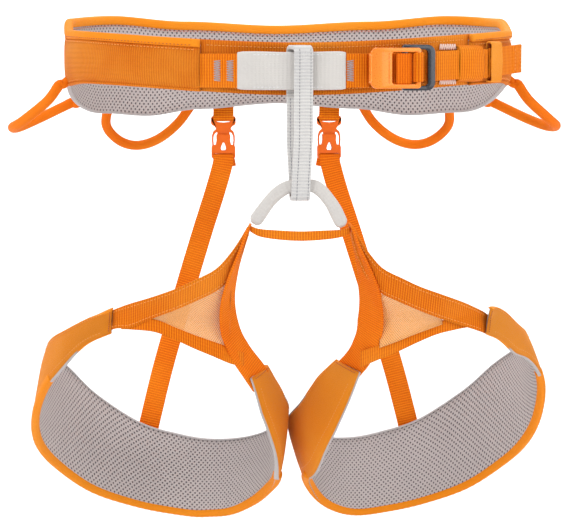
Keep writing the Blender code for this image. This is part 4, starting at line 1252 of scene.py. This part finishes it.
# centre line and width direction of the inner web, in millimetres
WEB = [((33.6, -113.2, -103.6), (-2.2, 8.0, 3)), ((38.3, -107.0, -119.0), (-5.0, 11.0, 3)),
       ((43.8, -96.3, -138.0), (-9.5, 12.5, 3)), ((46.8, -83.8, -158.0), (-12.5, 13.0, 3)),
       ((44.6, -73.8, -177.0), (-13.4, 12.5, 3)), ((37.5, -65.5, -193.0), (-13.6, 12.5, 4)),
       ((28.0, -58.5, -207.0), (-14.5, 12.5, 6)), ((22.5, -53.5, -215.0), (-14.0, 12.0, 9))]

def web_edges(sign):
    """Rows of the upper web, the lower web and the net of one leg loop."""
    low = LOW if sign < 0 else LOW[:-1]
    net = NET if sign < 0 else [NET_START_LEFT] + NET[2:]
    low_rows, up_rows = [], []
    for x, a, b in low:
        lift = LOW_RISE[sign] * min(1.0, (0.125 - x) / 0.03)
        low_rows.append((x, a + lift, b + lift))
    for x, a, b in UP:
        if 0.05 < x < 0.10:
            b += UP_RISE[sign]
        if sign < 0:
            a += 1.2 * MM * clamp((x - 0.100) / 0.02)
            b += clamp((x - 0.112) / 0.012) * (3.0 + 300 * max(0.0, x - 0.13)) * MM
        up_rows.append((x, a, b))
    return up_rows, low_rows, [(x, a + NET_TOP_RISE[sign], b + LOW_RISE[sign]) for x, a, b in net]


# where the thick lower roll starts and stops, as fractions along each pad
ROLLS = {-1: (0.137, 0.803), 1: (0.163, 0.803)}
ROLL_HIGH = 3.0 * MM
EDGE_STEPS = 100

for side, sign in (("right", -1), ("left", 1)):
    leg = side + "_leg_loop"
    seed = 2.0 + sign
    roll_start, roll_stop = ROLLS[sign]
    up_rows, low_rows, net_rows = web_edges(sign)

    def cover_out(f, v):
        p = strip(sign, f, v, 0.0)
        amp = dome(v, 3.5) * (0.55 + 0.45 * end_pinch(f, 0.03))
        d = 0.9 * MM - 1.7 * MM * amp + 0.35 * MM * rough_noise(p, 32.0, seed) * amp
        return strip(sign, f, v, d)

    def cover_in(f, v):
        return strip(sign, f, v, 3.1 * MM)

    cover = panel(side + "_pad_cover", M_COVER, cover_out, cover_in, 200, 12, leg, "orange_shell")
    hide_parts(side + "_leg_pad_shell")

    def mesh_in(f, v):
        p = strip(sign, f, v, 0.0)
        amp = dome(v, 3.0) * end_pinch(f, 0.03)
        return strip(sign, f, v, 3.5 * MM + 2.2 * MM * amp + 0.3 * MM * rough_noise(p, 28.0, seed + 5))

    lin = panel(side + "_pad_mesh", M_MESH, lambda f, v: strip(sign, f, v, 3.05 * MM), mesh_in,
                200, 12, leg, "grey_mesh")
    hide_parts(side + "_leg_pad_lining")

    # rolled binding along the lower edge
    stations, highs, thicks = [], [], []
    for i in range(220):
        f = roll_start + (roll_stop - roll_start) * i / 219
        c, inward, out = edge_frame(sign, f, 0.0, 0.35, 2.2 * MM)
        puck = 0.10 * MM * math.sin(i * 2.1)
        stations.append((c + inward * (ROLL_HIGH + puck), inward, out))
        highs.append(ROLL_HIGH + 0.3 * MM)
        thicks.append(table([(0.62, 2.9), (0.70, 3.5)], f) * MM)
    roll = rolled_edge(side + "_pad_roll", M_BINDING, stations, highs, thicks, leg, "orange_shell")
    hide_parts(side + "_leg_pad_binding")
    # thin edges: grey round the back and where the lower roll stops, orange at the front
    for tag, fa, fb, v, mat, slot in (("top_front", 0.0, 0.21, 1.0, M_COVER, "orange_shell"),
                                      ("top_back", 0.205, 0.86, 1.0, M_PIPE, "grey_mesh"),
                                      ("top_inner", 0.855, 1.0, 1.0, M_COVER, "orange_shell"),
                                      ("low_front", 0.0, 0.070, 0.0, M_COVER, "orange_shell"),
                                      ("low_outer", 0.067, roll_start + 0.003, 0.0, M_PIPE, "grey_mesh"),
                                      ("low_inner", roll_stop - 0.003, 1.0, 0.0, M_PIPE, "grey_mesh")):
        stations = []
        for i in range(EDGE_STEPS):
            f = fa + (fb - fa) * i / (EDGE_STEPS - 1)
            c, inward, out = edge_frame(sign, f, v, 1.0 - v if v < 0.5 else 0.65, 2.4 * MM)
            stations.append((c, -inward, -out))
        if tag == "low_inner":
            thinning = [(0.0, 1.9), (0.5, 1.0), (1.0, 0.8)] if sign < 0 else [(0.0, 0.8), (1.0, 0.8)]
            half = [table(thinning, i / (EDGE_STEPS - 1)) * MM for i in range(EDGE_STEPS)]
        else:
            half = 1.9 * MM if v > 0.5 else 1.3 * MM
        rolled_edge(side + "_pad_" + tag, mat, stations, 0.7 * MM, half, leg, slot, seg=10)
    # dark thread rows packed almost solid at both ends of the cover: a painted shadow line where the
    # cover's edge lies over the webs
    for tag, fe in (("outer", 0.0014), ("inner", 0.9986)):
        line = [strip(sign, fe, 0.06 + 0.88 * k / 20, -0.55 * MM) for k in range(21)]
        outward = [strip(sign, fe, 0.5, -1 * MM) - strip(sign, fe, 0.5, 1 * MM)] * 21
        stitches(side + "_pad_edge_shadow_" + tag, M_THREAD_D, [(line, outward)], leg, pitch=1.5 * MM,
                 run=1.4 * MM, slot="orange_shell")
    runs = []
    for v, d in ((0.955, 0.15), (0.16, -0.35)):
        line = [strip(sign, i / 239, v, d * MM) for i in range(4, 236)]
        outward = [(strip(sign, i / 239, v, -1 * MM) - strip(sign, i / 239, v, 1 * MM))
              for i in range(4, 236)]
        runs.append((line, outward))
    stitches(side + "_pad_stitch", M_THREAD, runs, leg, slot="orange_shell")

    up = web_band(side + "_upper_strap", M_WEB, sign, up_rows, 0.3 * MM, 1.7 * MM, leg)
    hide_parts(side + "_leg_upper_web")
    lo = web_band(side + "_lower_strap", M_WEB, sign, low_rows, (0.9 if sign < 0 else 2.6) * MM,
                  1.5 * MM, leg)
    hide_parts(side + "_leg_lower_web")
    net = web_band(side + "_net", M_SHEER, sign, net_rows, 1.3 * MM, 0.5 * MM, leg, slot="orange_shell",
                   count=30, nv=14)
    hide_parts(side + "_leg_mesh_panel")
    centres = smooth([Vector(c) * MM for c, _ in WEB], 60)
    wd = smooth([Vector(w) * MM for _, w in WEB], 60)
    spots, spans, facings = [], [], []
    for c, w, t in zip(centres, wd, tangents(centres)):
        if sign > 0:
            # the left web is wider half way down and its lower end lies behind the pad
            spread, close = (clamp((-c.z - z0) / 0.03) for z0 in (0.115, 0.175))
            tuck = clamp((-c.z - 0.196) / 0.012)
            w = w + Vector((-4.5 * MM, 0, 0)) * spread * (1.0 - close)
            c = c + Vector((2.4 * spread + 2.2 * close, 6.0 * tuck, 0)) * MM
        w = w - t * w.dot(t)
        n = t.cross(w)
        lean = 6.0 * MM * clamp((-c.z - 0.15) / 0.05) if sign > 0 else 0.0
        spots.append(Vector((sign * c.x + lean, c.y, c.z)))
        spans.append(Vector((sign * w.x, w.y, w.z)))
        facings.append(Vector((sign * n.x, n.y, n.z)))
    inner_web = strap(side + "_inner_strap", M_WEB_DEEP, spots, spans, facings, 1.7 * MM, body=leg)
    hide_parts(side + "_leg_inner_web")
    runs = []
    for v in (0.13, 0.87):
        rows = web_rows(up_rows[:-1], 60)
        line = [leg_point(sign, angle_of(x), zb + (zt - zb) * v, -0.1 * MM) for x, zt, zb in rows]
        outward = [leg_point(sign, angle_of(x), zb, -1 * MM) - leg_point(sign, angle_of(x), zb, 1 * MM)
              for x, zt, zb in rows]
        runs.append((line, outward))
    stitches(side + "_web_stitch", M_THREAD, runs, leg)

# =====================================================================================
# rear risers
# =====================================================================================
RISER_WIDE = 15.0 * MM
STUB_STEPS = 54
# the stub from the belt, through the plug's slot and back: distances back and up, in millimetres
STUB = [(117.6, -17), (117.9, -27), (119.4, -35), (119.6, -40.2), (121.6, -42.3), (123.9, -41.2),
        (124.0, -38.6), (121.6, -37.4), (120.6, -34.5), (119.2, -27)]
# the riser round the socket's bar and down to the pad, in millimetres
RISER = [(37.2, 126.2, -77.5), (38.2, 126.0, -72), (39.0, 124.6, -68.6), (39.4, 121.8, -67.4),
         (39.6, 118.6, -67.9), (39.8, 117.3, -70.5), (40.6, 117.4, -76.0), (46, 117.8, -95),
         (56, 115.4, -126), (69, 109.6, -168), (85, 101.0, -222), (93.5, 95.9, -255),
         (98.5, 94.6, -276)]
for side, sign in (("right", -1), ("left", 1)):
    rx, cy, topz = sign * 39.5 * MM, 121.8 * MM, -38.8 * MM

    def place(u, n, z):
        return Vector((rx + u * MM, cy + n * MM, topz + z * MM))

    arm = [(5.4, -9.6), (7.6, -11.6), (8.5, -14.5), (8.6, -18.0), (8.2, -23.0), (7.0, -23.0),
           (7.4, -18.0), (7.2, -15.0), (6.2, -13.0), (4.6, -12.0)]
    outline = ([(8.6, -6.6), (9.2, -5.4), (9.2, -1.8), (8.7, -0.6), (7.6, 0.0), (-7.6, 0.0),
                (-8.7, -0.6), (-9.2, -1.8), (-9.2, -5.4), (-8.6, -6.6), (-6.6, -7.8)]
               + [(-u, z) for u, z in arm] + [(-4.4, -18.6), (4.4, -18.6)] + arm[::-1]
               + [(6.6, -7.8)])
    lens = [(-7.6, -3.2), (-4.0, -4.5), (0.0, -4.9), (4.0, -4.5), (7.6, -3.2), (4.0, -2.6),
            (0.0, -2.4), (-4.0, -2.6)]
    plug = plate(side + "_plug", M_PLASTIC, outline, [lens], -1.25, 1.25, place,
                 side + "_riser_plug", "orange_plastic", bevel=0.4)
    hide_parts(side + "_riser_clip_plug")
    body_line = [(-4.8, -13.6), (4.8, -13.6), (5.2, -15.0), (5.0, -18.0), (5.6, -21.4),
                 (8.3, -21.8), (8.8, -23.5), (8.8, -30.4), (8.0, -31.8), (-8.0, -31.8),
                 (-8.8, -30.4), (-8.8, -23.5), (-8.3, -21.8), (-5.6, -21.4), (-5.0, -18.0),
                 (-5.2, -15.0)]
    slot_hole = rounded(-7.6, 7.6, -30.3, -27.9, [1.0] * 4)
    drop = [(-1.5, -25.6), (1.5, -25.6), (2.0, -24.2), (1.6, -22.4), (0.5, -19.8), (-0.5, -19.8),
            (-1.6, -22.4), (-2.0, -24.2)]
    front = plate(side + "_socket", M_PLASTIC, body_line, [slot_hole, drop], -3.3, -1.8, place,
                  ROOT, "orange_plastic", bevel=0.4)
    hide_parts(side + "_riser_clip_socket")
    plate(side + "_socket_back", M_PLASTIC, body_line, [slot_hole, drop], 1.8, 3.3, place, ROOT,
          "orange_plastic", bevel=0.4)
    for tag, line in (("a", [(-8.3, -22.2), (-6.4, -22.2), (-6.4, -27.6), (-8.6, -27.6)]),
                      ("b", [(6.4, -22.2), (8.3, -22.2), (8.6, -27.6), (6.4, -27.6)]),
                      ("c", [(-6.6, -26.2), (6.6, -26.2), (6.6, -27.7), (-6.6, -27.7)]),
                      ("d", [(-8.2, -30.3), (8.2, -30.3), (7.8, -31.6), (-7.8, -31.6)])):
        plate(side + "_socket_wall_" + tag, M_PLASTIC, line, [], -1.9, 1.9, place, ROOT,
              "orange_plastic", bevel=0.2)

    pts = smooth([(rx, y * MM, z * MM) for y, z in STUB], STUB_STEPS)
    stub = strap(side + "_stub", M_WEB, pts, [Vector((RISER_WIDE, 0, 0))] * STUB_STEPS,
                 [Vector((0, -t.z, t.y)) for t in tangents(pts)], 1.1 * MM)
    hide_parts(side + "_riser_stub")
    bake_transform(stub)

    pts = smooth([(sign * x * MM, y * MM, z * MM) for x, y, z in RISER], 120)
    spots, spans, facings = [], [], []
    for i, (p, t) in enumerate(zip(pts, tangents(pts))):
        if p.z > -0.078 or i < 20:
            across = Vector((1, 0, 0))
            across = (across - t * across.dot(t)).normalized()
        else:
            across = Vector((0, 1, 0)).cross(t).normalized()
            if across.x < 0:
                across = -across
        spots.append(p)
        spans.append(across * RISER_WIDE)
        facings.append(t.cross(across))
    spans = [sum(spans[max(0, i - 3):i + 4], Vector()).normalized() * RISER_WIDE
             for i in range(len(spans))]
    riser = strap(side + "_riser", M_WEB_DEEP, spots, spans, facings, 1.3 * MM)
    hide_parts(side + "_riser_strap")
    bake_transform(riser)

# =====================================================================================
# gear loops
# =====================================================================================
LOOP_OUT, LOOP_R, ROOT_R = 9.6 * MM, 3.55 * MM, 3.25 * MM
COLLAR_R = [r * MM for r in (3.40, 3.62, 3.64, 3.64, 3.64, 3.64, 3.6, 3.3)]
side_front, side_back = plan(0.197, LOOP_OUT, -0.0125), plan(0.262, LOOP_OUT, -0.0265)
side_ctrl = [side_front, (0.1680, -0.0150, -0.0240), (0.1850, -0.0020, -0.0380), (0.1925, 0.0170, -0.0430),
             (0.1885, 0.0360, -0.0435), (0.1750, 0.0490, -0.0380), side_back]
rear_front, rear_back = plan(0.302, LOOP_OUT, -0.0290), plan(0.368, LOOP_OUT, -0.0270)
rear_ctrl = [rear_front, (0.1265, 0.1010, -0.0450), (0.1170, 0.1135, -0.0565), (0.1035, 0.1210, -0.0605),
             (0.0880, 0.1250, -0.0560), (0.0730, 0.1250, -0.0440), rear_back]
for side, sign in (("right", -1), ("left", 1)):
    for kind, ctrl in (("side", side_ctrl), ("rear", rear_ctrl)):
        body = "%s_%s_gear_loop" % (side, kind)
        pts = smooth([Vector((sign * p[0], p[1], p[2])) for p in ctrl], 80)
        tn = tangents(pts)
        g = tube("%s_%s_loop_tube" % (side, kind), M_TUBE, pts, LOOP_R, body,
                 seg=20)
        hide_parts(body + "_tube")
        marks = (0.197, 0.262) if kind == "side" else (0.302, 0.368)
        for tag, p, t, sm in (("a", pts[0], -tn[0], marks[0]), ("b", pts[-1], tn[-1], marks[1])):
            c = smooth([p - t * 5.0 * MM, p - t * 2.0 * MM, p + t * 0.8 * MM], 8)
            o = tube("%s_%s_loop_collar_%s" % (side, kind, tag), M_TUBE, c,
                     COLLAR_R, body, seg=18)
            if tag == "a":
                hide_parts(body + "_cord")
            s = sm if sign > 0 else RING - sm
            zb = belt_bottom(s)
            c = smooth([p - t * 1.5 * MM, p + t * 0.6 * MM,
                        plan(s, 6.9 * MM, 0.5 * (p.z + zb) + 0.6 * MM),
                        plan(s, 3.4 * MM, zb + 3.5 * MM)], 14)
            root = tube("%s_%s_loop_root_%s" % (side, kind, tag), M_TUBE, c, ROOT_R, None,
                        seg=16)
            tuple(c[-1].lerp(c[0], 0.25))
            tuple(c[0])
            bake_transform(root)

# =====================================================================================
# stage, light, camera
# =====================================================================================
floor_mat = Nodes("floor_pale")
floor_mat.done((0.90, 0.90, 0.90), 0.8, spec=0.1)
bm = bmesh.new()
prof = [(-6.0, -0.36), (3.6, -0.36), (4.4, -0.30), (5.0, -0.05), (5.4, 0.5), (5.55, 1.3), (5.6, 5.0)]
rows = [[bm.verts.new((x, y, z)) for x in (-7.0, 7.0)] for y, z in prof]
for a, b in zip(rows, rows[1:]):
    bm.faces.new((a[0], a[1], b[1], b[0]))
mesh = bpy.data.meshes.new("floor")
bm.to_mesh(mesh)
bm.free()
mesh.materials.append(floor_mat.mat)
mesh.polygons.foreach_set("use_smooth", [True] * len(mesh.polygons))
floor = link_object("floor", mesh)

world = bpy.data.worlds.new("studio")
world.use_nodes = True
world.node_tree.nodes["Background"].inputs[0].default_value = (1.0, 1.0, 1.0, 1.0)
world.node_tree.nodes["Background"].inputs[1].default_value = 0.60
bpy.context.scene.world = world


def area(name, loc, target, size, power):
    """Square lamp at loc that faces target."""
    light = bpy.data.lights.new(name, "AREA")
    light.energy = power
    light.size = size
    obj = link_object(name, light)
    obj.location = loc
    obj.rotation_euler = (Vector(target) - Vector(loc)).to_track_quat("-Z", "Y").to_euler()


MIDDLE = (0, 0, -0.1)
for light_row in (("key", (-0.9, -1.6, 1.3), MIDDLE, 0.8, 19),
                  ("fill", (1.4, -1.2, 0.3), MIDDLE, 1.0, 7),
                  ("top", (0.0, 0.2, 1.6), MIDDLE, 1.0, 13),
                  ("backdrop", (0.0, 3.2, 3.3), (0, 5.3, -0.1), 3.0, 170),
                  ("side_right", (-1.7, -0.3, 0.35), (-0.15, 0, -0.2), 0.7, 7),
                  ("side_left", (1.7, -0.3, 0.35), (0.15, 0, -0.2), 0.7, 7)):
    area(*light_row)

# the camera looks at the harness from 4 degrees to the wearer's right and 5 degrees up
az, el = math.radians(-4.0), math.radians(5.0)
back = Vector((math.sin(az) * math.cos(el), -math.cos(az) * math.cos(el), math.sin(el)))
cam = bpy.data.cameras.new("camera")
cam.lens = 173.0
cam.sensor_width = 36.0
cam_obj = link_object("camera", cam)
cam_obj.location = (-0.1367, -1.8999, 0.0279)
cam_obj.rotation_euler = (-back).to_track_quat("-Z", "Y").to_euler()
bpy.context.scene.camera = cam_obj
bpy.context.scene.view_settings.view_transform = "Standard"
